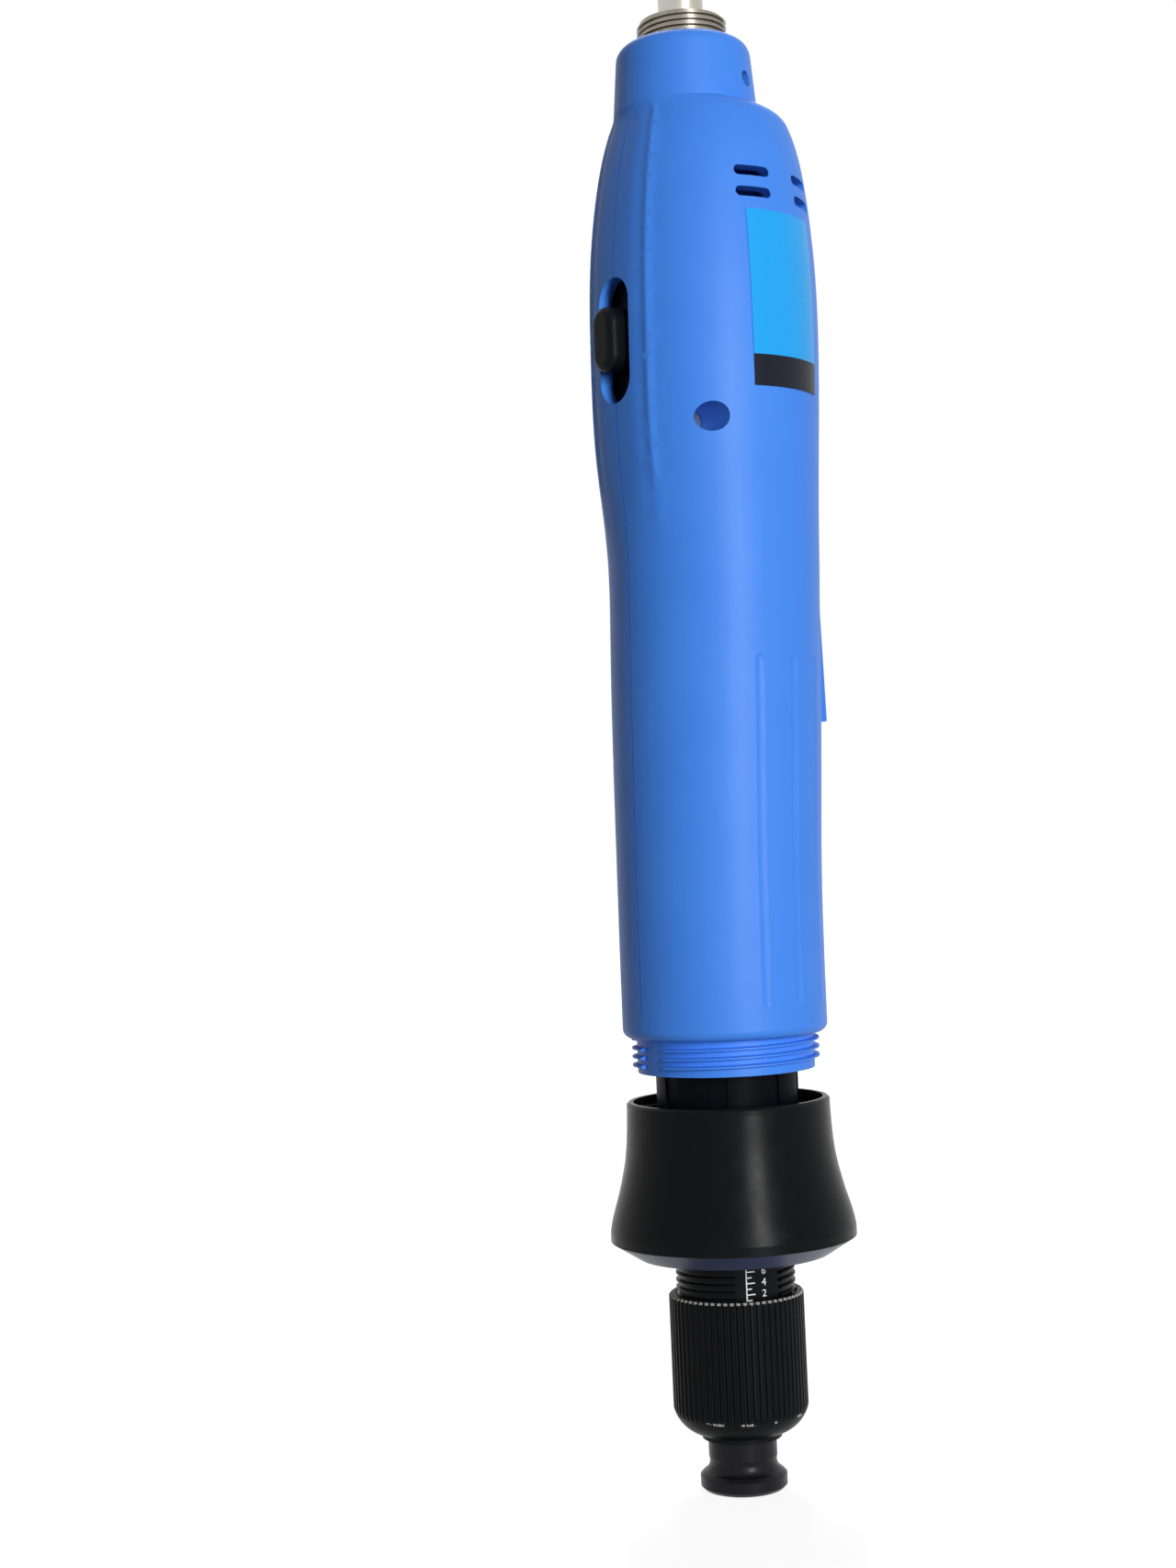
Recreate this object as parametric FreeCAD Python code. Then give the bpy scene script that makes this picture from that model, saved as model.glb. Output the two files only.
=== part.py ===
"""Straight-body corded electric screwdriver, as separate pieces.

Millimetres. +Z runs up the tool's axis from the bit to the tail, and the origin is the mouth of the
bit socket. The housing parts at y = 0, the direction switch faces -X and the start lever faces +X.
"""
import FreeCAD, Part
import math
import os

from FreeCAD import Vector

# Clearances that all pieces share
running_gap = 0.06
seat_gap = 0.04
free_gap = 0.4
end_float = 0.3
overrun = 6.0

# Thread form, as shares of the pitch and of the thread's depth
root_width_share = 0.5
crest_width_share = 0.2
sink_share = 0.3
thread_gap = 0.2

# Bit socket and spindle
hex_across = 6.45
hex_depth = 22.0
chuck_radius = 4.9
chuck_length = 24.5
shaft_radius = 4.0
lock_ball_radius = 1.1
lock_ball_height = 9.0
lock_ball_count = 2

# Bit release sleeve, its spring and the ring that holds the spring
sleeve_show = 8.9
sleeve_length = 14.0
sleeve_radius = 6.0
sleeve_travel = 2.5
sleeve_flange_radius = 7.6
sleeve_flange_height = 3.0
sleeve_flange_edge = 0.6
sleeve_waist_height = 2.6
sleeve_curve_share = 0.5
sleeve_relief_depth = 0.5
sleeve_spring_wire = 0.6
sleeve_spring_length = 7.0
sleeve_spring_turns = 5
ring_thickness = 0.8
ring_radius = 6.0
ring_groove_depth = 0.4

# Torque nut
nut_length = 25.3
nut_radius = 11.85
nut_floor = 4.0
nut_foot_radius = 7.0
nut_cone_height = 4.7
nut_curve_share = 0.3
nut_foot_height = 0.8
nut_rim_edge = 0.35
nut_rise = 5.5
flute_count = 64
flute_depth = 0.4
flute_width_share = 0.62

# Scale tube
tube_radius = 10.5
tube_bore = 8.5
tube_pitch = 1.25
tube_thread_depth = 0.6
tube_thread_turns = 24
tube_lead_in = 1.0
tube_flange_radius = 11.3
tube_flange_height = 3.0
scale_flat_angle = -104.0
scale_flat_depth = 0.9
thread_run_out = 1.0

# Torque spring, its seat and the clutch
torque_spring_wire = 1.4
torque_spring_radius = 7.1
torque_spring_turns = 9
seat_height = 2.0
clutch_plate_height = 1.5
clutch_pin_radius = 1.0
clutch_pin_circle = 7.2
clutch_pin_proud = 0.5
clutch_pin_count = 6
bush_wall = 1.2
bush_boss_radius = 6.0
bush_boss_drop = 5.0

# Planetary gears, two stages inside one ring
gear_module = 0.5
sun_teeth = 12
planet_teeth = 12
pressure_angle = 25.0
addendum_share = 0.8
dedendum_share = 1.05
backlash = 0.06
face_width = 5.5
planet_count = 3
planet_pin_radius = 1.2
carrier_radius = 8.1
first_carrier_height = 2.2
second_carrier_height = 2.5
ring_web_height = 2.0
ring_rim = 1.6
sun_spigot_radius = 1.9

# Gear case
case_radius = 12.5
case_wall = 3.2
case_top_room = 1.1
case_flange_radius = 15.0
case_flange_height = 4.0
case_flange_rise = 0.8
case_slot_count = 8
case_slot_width = 3.2
case_slot_depth = 0.5

# Nose cap and the washer inside it
nut_to_cap = 6.6
cap_gap = 5.2
cap_floor = 3.4
cap_top_radius = 17.9
cap_belly_radius = 21.6
cap_foot_radius = 17.0
cap_chamfer_height = 2.9
cap_belly_height = 1.6
cap_flare_height = 21.4
cap_rim_edge = 0.4
cap_bore_gap = 0.35
cap_thread_turns = 2.5
cap_flare_shares = ((0.12, 0.14), (0.27, 0.40), (0.42, 0.63), (0.58, 0.82), (0.80, 0.95))
washer_height = 2.0
washer_width = 3.2

# Housing thread and its bore
housing_thread_radius = 16.5
housing_thread_depth = 0.9
housing_pitch = 1.5
housing_thread_length = 6.1
housing_thread_turns = 3.4
housing_thread_start = 0.7
seam_relief_share = 0.2
housing_bore = 13.0

# Housing body: a loft of shifted circles, with a flattened switch panel between two fine ridges on -X
wall = 2.6
grip_radius = 18.0
palm_radius = 20.26
palm_shift = 1.97
foot_round = 1.6
body_length = 155.2
shoulder_height = 3.4
shoulder_radius = 14.7
shoulder_shift = 2.0
neck_height = 12.4
neck_foot_radius = 12.8
neck_top_radius = 12.0
neck_round = 2.6
seam_width = 0.12
seam_depth = 0.2
panel_angle = 20.0
panel_depth_share = 0.02
ridge_angle = 24.0
ridge_height = 0.4
ridge_half_angle = 3.4
side_angle = 37.0

# Body stations: height, swell, shift and panel, as shares of body_length, of the step from
# grip_radius to palm_radius, of palm_shift and of the panel's full relief
body_shares = (
    (0.0, 0.0, 0.0, 0.0),
    (0.168, 0.044, 0.152, 0.0),
    (0.296, 0.199, 0.479, 0.0),
    (0.425, 0.265, 0.817, 0.0),
    (0.509, 0.332, 1.016, 0.0),
    (0.567, 0.518, 0.939, 0.45),
    (0.625, 0.774, 0.83, 0.92),
    (0.683, 0.934, 0.872, 1.0),
    (0.747, 1.0, 1.0, 1.0),
    (0.844, 0.867, 1.152, 1.0),
    (0.928, 0.292, 1.327, 1.0),
    (0.979, -0.38, 1.442, 1.0),
    (1.0, -0.832, 1.434, 1.0),
)
side_angle_shares = (0.0, 0.25, 0.47, 0.55, 0.60, 0.65, 0.70, 0.75, 0.82, 0.91, 1.0)
back_angle_shares = (0.06, 0.16, 0.27, 0.37, 0.48, 0.58, 0.69, 0.79, 0.90, 1.0)
shoulder_height_share = 0.66
shoulder_panel_share = 0.5
round_steps = 4

# Grip grooves, vents and the two screw holes in the housing
groove_first_angle = -103.5
groove_step_angle = 22.25
groove_count = 3
groove_steps = 4
groove_start_share = 0.01
groove_end_share = 0.385
groove_tool_radius = 2.0
groove_depth = 0.25
vent_width = 6.9
vent_height = 1.8
vent_pitch = 3.8
vent_rows = 2
vent_lowest = 140.1
vent_angles = (-99.0, -59.0)
screw_height = 101.2
screw_offset = -9.6
screw_hole_radius = 2.55
screw_head_radius = 2.35
screw_head_height = 2.0
screw_shank_radius = 1.5
screw_seat = 8.0
screw_reach = 8.0
screw_recess_radius = 1.2
boss_wall = 1.7
set_screw_radius = 1.35
set_screw_angle = -66.0
set_screw_recess = 0.8
set_screw_socket_share = 0.5

# Sticker
sticker_thickness = 0.15
sticker_first_angle = -103.4
sticker_last_angle = -57.0
sticker_lowest = 106.4
sticker_height = 30.6

# Direction switch: all heights above the body's foot
slot_height = 116.7
slot_length = 22.1
slot_width = 8.7
knob_travel = 4.0
knob_length = 11.4
knob_width = 6.2
knob_reach = 20.6
knob_round = 1.5
shutter_thickness = 0.9
shutter_width = 11.0
shutter_seat = 14.2
direction_switch_length = 17.0
direction_switch_width = 10.4

# Start lever, its pocket, pin and switch: heights above the body's foot
lever_foot = 50.0
lever_pivot = 102.5
lever_pivot_reach = 18.2
lever_boss_radius = 3.3
lever_width = 10.4
lever_inner_reach = 18.6
lever_foot_reach = 22.8
lever_edge_round = 0.8
lever_press = 1.3
lever_pin_radius = 1.2
lever_pin_length = 15.2
pocket_floor = 16.9
pocket_floor_wall = 2.0
pocket_pivot_drop = 2.6
pocket_side_wall = 2.5
button_height = 74.0
button_radius = 1.2
start_switch_foot = 68.0
start_switch_length = 20.0
start_switch_width = 6.6
start_switch_reach = 13.2

# Control board and what stands on it
board_back = -4.6
board_thickness = 1.6
board_width = 25.0
board_foot = 69.0
board_length = 75.0
board_rib_heights = (84.0, 136.0)
board_rib_height = 4.0
board_rib_grip = 1.0
board_rib_depth = 3.0
relay_foot = 92.0
relay_length = 16.0
relay_width = 12.0
relay_reach = 9.0
capacitor_height = 121.0
capacitor_radius = 5.0
capacitor_reach = 9.0

# Motor
motor_radius = 14.0
motor_length = 52.0
motor_can_wall = 1.2
motor_front_wall = 1.6
motor_rib_height = 2.0
motor_rib_shares = (0.15, 0.85)
end_cap_plate = 4.0
end_cap_skirt = 5.0
end_cap_spigot = 2.0
rotor_shaft_radius = 1.5
motor_bush_radius = 3.5
motor_bush_length = 4.0
magnet_thickness = 3.0
magnet_angle = 130.0
magnet_length = 34.0
air_gap = 0.5
core_length = 30.0
core_slot_count = 5
core_slot_width = 2.4
core_slot_depth = 4.6
winding_length = 5.5
winding_inner_radius = 3.4
winding_radius_share = 0.92
commutator_radius = 3.6
commutator_length = 6.4
commutator_groove = 0.3
brush_width = 3.2
brush_height = 4.4
brush_length = 4.6
brush_holder_wall = 0.9
brush_spring_wire = 0.4
brush_spring_radius = 1.1
brush_spring_turns = 4
lead_radius = 0.7
motor_lead_spread = 7.0
motor_lead_length = 14.0

# Tail inlet
inlet_thread_radius = 8.0
inlet_thread_depth = 0.5
inlet_pitch = 1.0
inlet_show = 4.4
inlet_flange_radius = 10.2
inlet_flange_height = 2.6
inlet_flange_drop = 9.4
inlet_tail_drop = 11.8
inlet_cup_radius = 6.0
inlet_cup_depth = 4.0
barrel_radius = 4.0
barrel_step = 0.5
barrel_wall = 0.8
barrel_show = 6.4
insulator_recess = 1.5
contact_pin_radius = 0.5
contact_pin_circle = 1.8
contact_pin_count = 5
contact_pin_proud = 1.0
inlet_lead_count = 3
inlet_lead_spread = 4.0
inlet_lead_fall_shares = (0.22, 0.8)
inlet_lead_lap = 9.0

# Heights worked out up the axis from the bit socket
nut_top = sleeve_show + nut_length
nut_floor_top = sleeve_show + nut_floor
cap_foot = nut_top + nut_to_cap
gear_stack = (tube_flange_height + case_wall + ring_web_height + second_carrier_height
              + first_carrier_height + 2 * face_width + 5 * end_float + case_top_room)
case_drop = gear_stack - case_flange_rise - case_flange_height
cap_length = cap_floor + washer_height + case_drop
cap_top = cap_foot + cap_length
cap_travel = cap_gap + housing_thread_length - end_float
housing_foot = cap_top + cap_gap
shoulder = housing_foot + housing_thread_length
case_seat = shoulder + case_flange_rise
case_top = case_seat + case_flange_height
case_foot = case_top - gear_stack
case_wall_foot = case_foot + tube_flange_height
case_wall_top = case_wall_foot + case_wall
ring_foot = case_wall_top + end_float
second_carrier_foot = ring_foot + ring_web_height + end_float
second_planet_foot = second_carrier_foot + second_carrier_height + end_float
first_carrier_foot = second_planet_foot + face_width + end_float
first_planet_foot = first_carrier_foot + first_carrier_height + end_float
first_planet_top = first_planet_foot + face_width
clutch_plate_top = case_wall_foot - clutch_pin_proud
torque_spring_foot = nut_floor_top + seat_gap + seat_height
torque_spring_top = clutch_plate_top - clutch_plate_height
tube_foot = nut_floor_top + nut_rise + free_gap
body_foot = case_top
body_crown = body_foot + body_length
neck_foot = body_crown + shoulder_height
neck_top = neck_foot + neck_height
inlet_top = neck_top + inlet_show
barrel_top = inlet_top + barrel_show
motor_top = case_top + motor_length
end_cap_top = motor_top + end_cap_skirt + end_cap_plate
board_front = board_back + board_thickness

# Radii worked out from the fits
sun_radius = gear_module * sun_teeth / 2
planet_radius = gear_module * planet_teeth / 2
ring_teeth = sun_teeth + 2 * planet_teeth
ring_radius_pitch = gear_module * ring_teeth / 2
orbit_radius = sun_radius + planet_radius
ring_outer_radius = ring_radius_pitch + gear_module * dedendum_share + ring_rim
bush_radius = shaft_radius + running_gap + bush_wall
core_radius = motor_radius - motor_can_wall - magnet_thickness - air_gap

# Plain directions and ratios
up = Vector(0, 0, 1)
along_x = Vector(1, 0, 0)
along_y = Vector(0, 1, 0)
origin = Vector(0, 0, 0)
root_half = math.sqrt(0.5)


def polar(radius, degrees, z=0.0):
    """Point at a radius and an angle about the axis."""
    turn = math.radians(degrees)
    return Vector(radius * math.cos(turn), radius * math.sin(turn), z)


def rod(radius, z0, z1):
    """Solid cylinder on the axis."""
    return Part.makeCylinder(radius, z1 - z0, Vector(0, 0, z0))


def tube(outer, inner, z0, z1):
    """Hollow cylinder on the axis."""
    return rod(outer, z0, z1).cut(rod(inner, z0 - overrun, z1 + overrun))


def block(x0, x1, y0, y1, z0, z1):
    """Box between two corners."""
    return Part.makeBox(x1 - x0, y1 - y0, z1 - z0, Vector(x0, y0, z0))


def outline(start, *steps):
    """Face in the XZ plane: a step of one point is a line, of two an arc, of more a spline."""
    first = Vector(start[0], 0, start[1])
    last = first
    edges = []
    for step in steps:
        points = [last] + [Vector(r, 0, z) for r, z in step]
        if len(points) == 2:
            curve = Part.LineSegment(*points)
        elif len(points) == 3:
            curve = Part.Arc(*points)
        else:
            curve = Part.BSplineCurve()
            curve.interpolate(points)
        edges.append(curve.toShape())
        last = points[-1]
    edges.append(Part.LineSegment(last, first).toShape())
    return Part.Face(Part.Wire(edges))


def rounded(start, corner, end):
    """Outline step: the quarter arc that rounds a square corner."""
    centre = (start[0] + end[0] - corner[0], start[1] + end[1] - corner[1])
    middle = tuple(centre[i] + (corner[i] - centre[i]) * root_half for i in range(2))
    return [middle, end]


def turned(face):
    """Solid of revolution of an XZ face about the axis."""
    return face.revolve(origin, up, 360)


def fused(first, *rest):
    """One solid from overlapping or touching shapes."""
    shape = first.fuse(list(rest)).removeSplitter()
    return shape.Solids[0] if len(shape.Solids) == 1 else shape


def group(shapes):
    """Separate solids in one node."""
    return Part.makeCompound(list(shapes))


def spun(shape, count):
    """Copies of a shape spaced evenly about the axis."""
    copies = []
    for index in range(count):
        copy = shape.copy()
        copy.rotate(origin, up, 360.0 * index / count)
        copies.append(copy)
    return copies


def mirrored(shape):
    """Copy on the other side of the parting plane."""
    return shape.mirror(origin, along_y)


def thread_ridge(root, crest, pitch, z0, turns):
    """Helical ridge from the root radius to the crest, with its foot sunk past the root."""
    helix = Part.makeHelix(pitch, pitch * turns, root)
    helix.translate(Vector(0, 0, z0))
    half_crest = pitch * crest_width_share / 2
    half_root = pitch * root_width_share / 2
    half_sunk = half_root + (half_root - half_crest) * sink_share
    sunk = root - (crest - root) * sink_share
    corners = [Vector(sunk, 0, z0 - half_sunk), Vector(crest, 0, z0 - half_crest),
               Vector(crest, 0, z0 + half_crest), Vector(sunk, 0, z0 + half_sunk)]
    profile = Part.makePolygon(corners + corners[:1])
    return Part.Wire(helix.Edges).makePipeShell([profile], True, True)


def arc_from(start, tangent, end):
    """Arc that leaves a point along a tangent and ends at another point."""
    chord = end - start
    along = chord.dot(tangent)
    side = tangent * chord.Length - chord * (along / chord.Length)
    half_turn = math.atan2(side.Length / chord.Length, along / chord.Length) / 2
    side.normalize()
    middle = (start + end) * 0.5 + side * (chord.Length / 2 * math.tan(half_turn))
    return Part.Arc(start, middle, end).toShape()


def biarc(start, start_tangent, end, end_tangent):
    """Two tangent arcs between two points with given directions."""
    span = end - start
    both = start_tangent + end_tangent
    lead = span.dot(both)
    spread = 2 * (1 - start_tangent.dot(end_tangent))
    reach = (math.sqrt(lead * lead + spread * span.dot(span)) - lead) / spread
    joint = (start + end + (start_tangent - end_tangent) * reach) * 0.5
    middle_tangent = (end - end_tangent * reach) - (start + start_tangent * reach)
    middle_tangent.normalize()
    return [arc_from(start, start_tangent, joint), arc_from(joint, middle_tangent, end)]


def coil(radius, wire_radius, z0, z1, turns):
    """Compression spring of round wire on the axis, between two heights."""
    quarters = 4 * turns
    rise = (z1 - z0 - 2 * wire_radius) / quarters
    points = [polar(radius, 90.0 * k, z0 + wire_radius + rise * k) for k in range(quarters + 1)]
    slope = rise / (math.pi / 2 * radius)
    tangents = []
    for k in range(quarters + 1):
        tangent = polar(1, 90.0 * (k + 1), slope)
        tangent.normalize()
        tangents.append(tangent)
    edges = []
    for k in range(quarters):
        edges += biarc(points[k], tangents[k], points[k + 1], tangents[k + 1])
    section = Part.Wire(Part.Circle(points[0], tangents[0], wire_radius).toShape())
    return Part.Wire(edges).makePipeShell([section], True)


def bent_tube(points, radius):
    """Tube along straight runs joined by tangent arcs as large as the runs allow."""
    edges = []
    last = points[0]
    for before, corner, after in zip(points, points[1:], points[2:]):
        back = (before - corner).normalize()
        ahead = (after - corner).normalize()
        cut = 0.45 * min(before.distanceToPoint(corner), after.distanceToPoint(corner))
        start = corner + back * cut
        end = corner + ahead * cut
        edges.append(Part.LineSegment(last, start).toShape())
        edges.append(arc_from(start, -back, end))
        last = end
    edges.append(Part.LineSegment(last, points[-1]).toShape())
    section = Part.Wire(Part.Circle(points[0], points[1] - points[0], radius).toShape())
    return Part.Wire(edges).makePipeShell([section], True)


def hex_prism(across, z0, z1):
    """Hexagonal prism on the axis, with flats facing +X and -X."""
    corner = across / math.sqrt(3)
    points = [polar(corner, 30 + 60 * k, z0) for k in range(7)]
    return Part.Face(Part.makePolygon(points)).extrude(Vector(0, 0, z1 - z0))


# Release sleeve, spindle and bit lock

def release_sleeve():
    """Spool-shaped sleeve that is pulled up to free the bit."""
    bore = chuck_radius + running_gap
    waist_top = sleeve_flange_height + sleeve_waist_height
    waist_corner = (sleeve_radius, sleeve_flange_height)
    flange_lip = (sleeve_flange_radius - sleeve_flange_edge, sleeve_flange_height)
    shape = turned(outline(
        (bore, 0),
        [(sleeve_flange_radius - sleeve_flange_edge, 0)],
        [(sleeve_flange_radius, sleeve_flange_edge)],
        [(sleeve_flange_radius, sleeve_flange_height - sleeve_flange_edge)],
        [flange_lip],
        corner_arc(flange_lip, waist_corner, (sleeve_radius, waist_top), sleeve_curve_share),
        [(sleeve_radius, sleeve_length)],
        [(bore, sleeve_length)]))
    relief_middle = lock_ball_height - sleeve_travel
    relief_half = lock_ball_radius + running_gap
    relief_groove = rod(bore + sleeve_relief_depth, relief_middle - relief_half, relief_middle + relief_half)
    return shape.cut(relief_groove)


def corner_arc(start, corner, end, share):
    """Outline step: arc whose middle is pulled from the chord towards a corner by a share."""
    middle = tuple((start[i] + end[i]) / 2 * (1 - share) + corner[i] * share for i in range(2))
    return [middle, end]


def lock_balls():
    """Balls that grip the bit's groove."""
    reach = chuck_radius - lock_ball_radius - running_gap
    ball = Part.makeSphere(lock_ball_radius, Vector(reach, 0, lock_ball_height))
    return group(spun(ball, lock_ball_count))


def sleeve_ring_foot():
    """Height of the ring that the sleeve's spring pushes on."""
    return sleeve_length + sleeve_spring_length


def output_spindle():
    """Hex socket, shaft and the flange that carries the second planets."""
    chuck = rod(chuck_radius, 0, chuck_length)
    shaft = rod(shaft_radius, chuck_length - overrun, second_carrier_foot + second_carrier_height)
    flange = rod(carrier_radius, second_carrier_foot, second_carrier_foot + second_carrier_height)
    shape = fused(chuck, shaft, flange)
    shape = shape.cut(hex_prism(hex_across, -overrun, hex_depth))
    ball_hole = Part.makeCylinder(lock_ball_radius + running_gap, chuck_radius + overrun,
                                  Vector(0, 0, lock_ball_height), along_x)
    groove_foot = sleeve_ring_foot() - seat_gap
    groove = tube(chuck_radius + overrun, chuck_radius - ring_groove_depth,
                  groove_foot, groove_foot + ring_thickness + 2 * seat_gap)
    pin_hole = Part.makeCylinder(planet_pin_radius + seat_gap, second_carrier_height + 2 * overrun,
                                 Vector(orbit_radius, 0, second_carrier_foot - overrun))
    return shape.cut(spun(ball_hole, lock_ball_count) + [groove] + spun(pin_hole, planet_count))


def sleeve_ring():
    """Split ring in the spindle's groove."""
    foot = sleeve_ring_foot()
    inner = chuck_radius - ring_groove_depth + seat_gap
    ring = tube(ring_radius, inner, foot, foot + ring_thickness)
    split = block(0, ring_radius + overrun, -ring_thickness, ring_thickness, foot - overrun,
                  foot + ring_thickness + overrun)
    return ring.cut(split)


def sleeve_spring():
    """Coil that pushes the sleeve down."""
    middle = chuck_radius + free_gap / 2 + sleeve_spring_wire / 2
    return coil(middle, sleeve_spring_wire / 2, sleeve_length + seat_gap, sleeve_ring_foot() - seat_gap,
                sleeve_spring_turns)


# Torque nut, scale tube and clutch

def fluted_prism(radius, depth, count, z0, z1):
    """Prism with round-bottomed flutes along it."""
    half_flute = 180.0 / count * flute_width_share
    step = 360.0 / count
    edges = []
    for index in range(count):
        middle = step * index
        first = polar(radius, middle - half_flute, z0)
        last = polar(radius, middle + half_flute, z0)
        edges.append(Part.Arc(first, polar(radius - depth, middle, z0), last).toShape())
        following = polar(radius, middle + step - half_flute, z0)
        edges.append(Part.LineSegment(last, following).toShape())
    return Part.Face(Part.Wire(edges)).extrude(Vector(0, 0, z1 - z0))


def torque_nut():
    """Fluted nut that sets the clutch spring's load."""
    cone_foot = sleeve_show + nut_foot_height
    cone_top = cone_foot + nut_cone_height
    cone_corner = (nut_radius, cone_foot)
    envelope = turned(outline(
        (0, sleeve_show),
        [(nut_foot_radius, sleeve_show)],
        [(nut_foot_radius, cone_foot)],
        corner_arc((nut_foot_radius, cone_foot), cone_corner, (nut_radius, cone_top), nut_curve_share),
        [(nut_radius, nut_top - nut_rim_edge)],
        [(nut_radius - nut_rim_edge, nut_top)],
        [(0, nut_top)]))
    fluted = fluted_prism(nut_radius, flute_depth, flute_count, sleeve_show, nut_top)
    bore = tube_radius + thread_gap
    body = envelope.common(fluted).cut(rod(bore, nut_floor_top, nut_top + overrun))
    body = body.cut(rod(sleeve_radius + free_gap, sleeve_show - overrun, nut_top))
    crest = tube_radius - tube_thread_depth + thread_gap
    turns = math.floor((nut_top - tube_foot) / tube_pitch) - 2
    start = tube_thread_start() + tube_pitch / 2
    return fused(body, thread_ridge(bore, crest, tube_pitch, start, turns))


def tube_thread_start():
    """Height of the middle of the scale tube's thread where it begins."""
    return tube_foot + tube_lead_in


def broken_thread(root, crest, pitch, z0, turns, gap_middle, gap_half):
    """Ridges of a thread that a flat interrupts, one for each turn between the ends."""
    first = (gap_middle + gap_half) % 360
    ridges = []
    for turn in range(turns - 1):
        ridge = thread_ridge(root, crest, pitch, z0 + pitch * (turn + first / 360), 1 - gap_half / 180)
        ridge.rotate(origin, up, first)
        ridges.append(ridge)
    return ridges


def scale_tube():
    """Threaded tube with a milled flat for the torque scale."""
    root = tube_radius - tube_thread_depth
    flat_reach = tube_radius - scale_flat_depth
    thread_top = tube_thread_start() + tube_pitch * (tube_thread_turns + root_width_share)
    body = fused(rod(root, tube_foot, thread_top), rod(tube_radius, thread_top, case_wall_foot),
                 rod(tube_flange_radius, case_foot, case_wall_foot))
    flat = block(flat_reach, tube_radius + overrun, -tube_radius, tube_radius, tube_foot - overrun,
                 thread_top)
    body = body.cut([rod(tube_bore, tube_foot - overrun, case_wall_foot + overrun), flat])
    # The flat is milled where the round face has its seam, then turned to its angle
    body.rotate(origin, up, scale_flat_angle)
    flat_half_angle = math.degrees(math.acos(flat_reach / tube_radius))
    ridges = broken_thread(root, tube_radius, tube_pitch, tube_thread_start(), tube_thread_turns,
                           scale_flat_angle, flat_half_angle + thread_run_out)
    return fused(body, *ridges)


def spring_seat():
    """Ring on the nut's floor that carries the torque spring."""
    foot = nut_floor_top + seat_gap
    return tube(tube_bore - 2 * running_gap, sleeve_radius + free_gap, foot, foot + seat_height)


def torque_spring():
    """Clutch spring inside the scale tube."""
    return coil(torque_spring_radius, torque_spring_wire / 2, torque_spring_foot + seat_gap,
                torque_spring_top - seat_gap, torque_spring_turns)


def clutch_plate():
    """Ring between the torque spring and the clutch pins."""
    return tube(tube_bore - 2 * running_gap, bush_boss_radius + 2 * running_gap,
                torque_spring_top, clutch_plate_top)


def clutch_pins():
    """Round-ended pins that press on the ring gear's face."""
    tip = ring_foot - clutch_pin_radius
    pin = Part.makeCylinder(clutch_pin_radius, tip - clutch_plate_top,
                            Vector(clutch_pin_circle, 0, clutch_plate_top))
    dome = Part.makeSphere(clutch_pin_radius, Vector(clutch_pin_circle, 0, tip))
    return group(spun(fused(pin, dome), clutch_pin_count))


def spindle_bush():
    """Bronze bearing of the spindle in the gear case's wall."""
    return tube(bush_radius, shaft_radius + running_gap, case_wall_foot - bush_boss_drop, case_wall_top)


def gear_case():
    """Case of the planetary gears, with the clutch wall and the flange that the housing clamps."""
    shape = fused(rod(case_radius, case_foot, case_top),
                  rod(case_flange_radius, case_seat, case_top))
    counterbore = rod(tube_flange_radius + seat_gap, case_foot - overrun, case_wall_foot)
    chamber = rod(ring_outer_radius + running_gap, case_wall_top, case_top + overrun)
    shape = shape.cut([counterbore, chamber])
    boss = rod(bush_boss_radius, case_wall_foot - bush_boss_drop, case_wall_foot)
    shape = fused(shape, boss)
    bush_hole = rod(bush_radius + seat_gap, case_foot - overrun, case_top)
    pin_hole = Part.makeCylinder(clutch_pin_radius + running_gap, case_wall + 2 * overrun,
                                 Vector(clutch_pin_circle, 0, case_wall_foot - seat_gap))
    slot = block(case_radius - case_slot_depth, case_radius + overrun, -case_slot_width / 2,
                 case_slot_width / 2, case_foot + tube_flange_height, case_seat)
    return shape.cut([bush_hole] + spun(pin_hole, clutch_pin_count) + spun(slot, case_slot_count))


# Gears

def involute(angle):
    """Involute function of an angle in radians."""
    return math.tan(angle) - angle


def half_tooth_angle(radius, pitch_radius, half_width):
    """Half of a tooth's angle at a radius, in degrees, for a half width at the pitch circle."""
    alpha = math.radians(pressure_angle)
    local = math.acos(min(1.0, pitch_radius * math.cos(alpha) / radius))
    return math.degrees(half_width / pitch_radius + involute(alpha) - involute(local))


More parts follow.
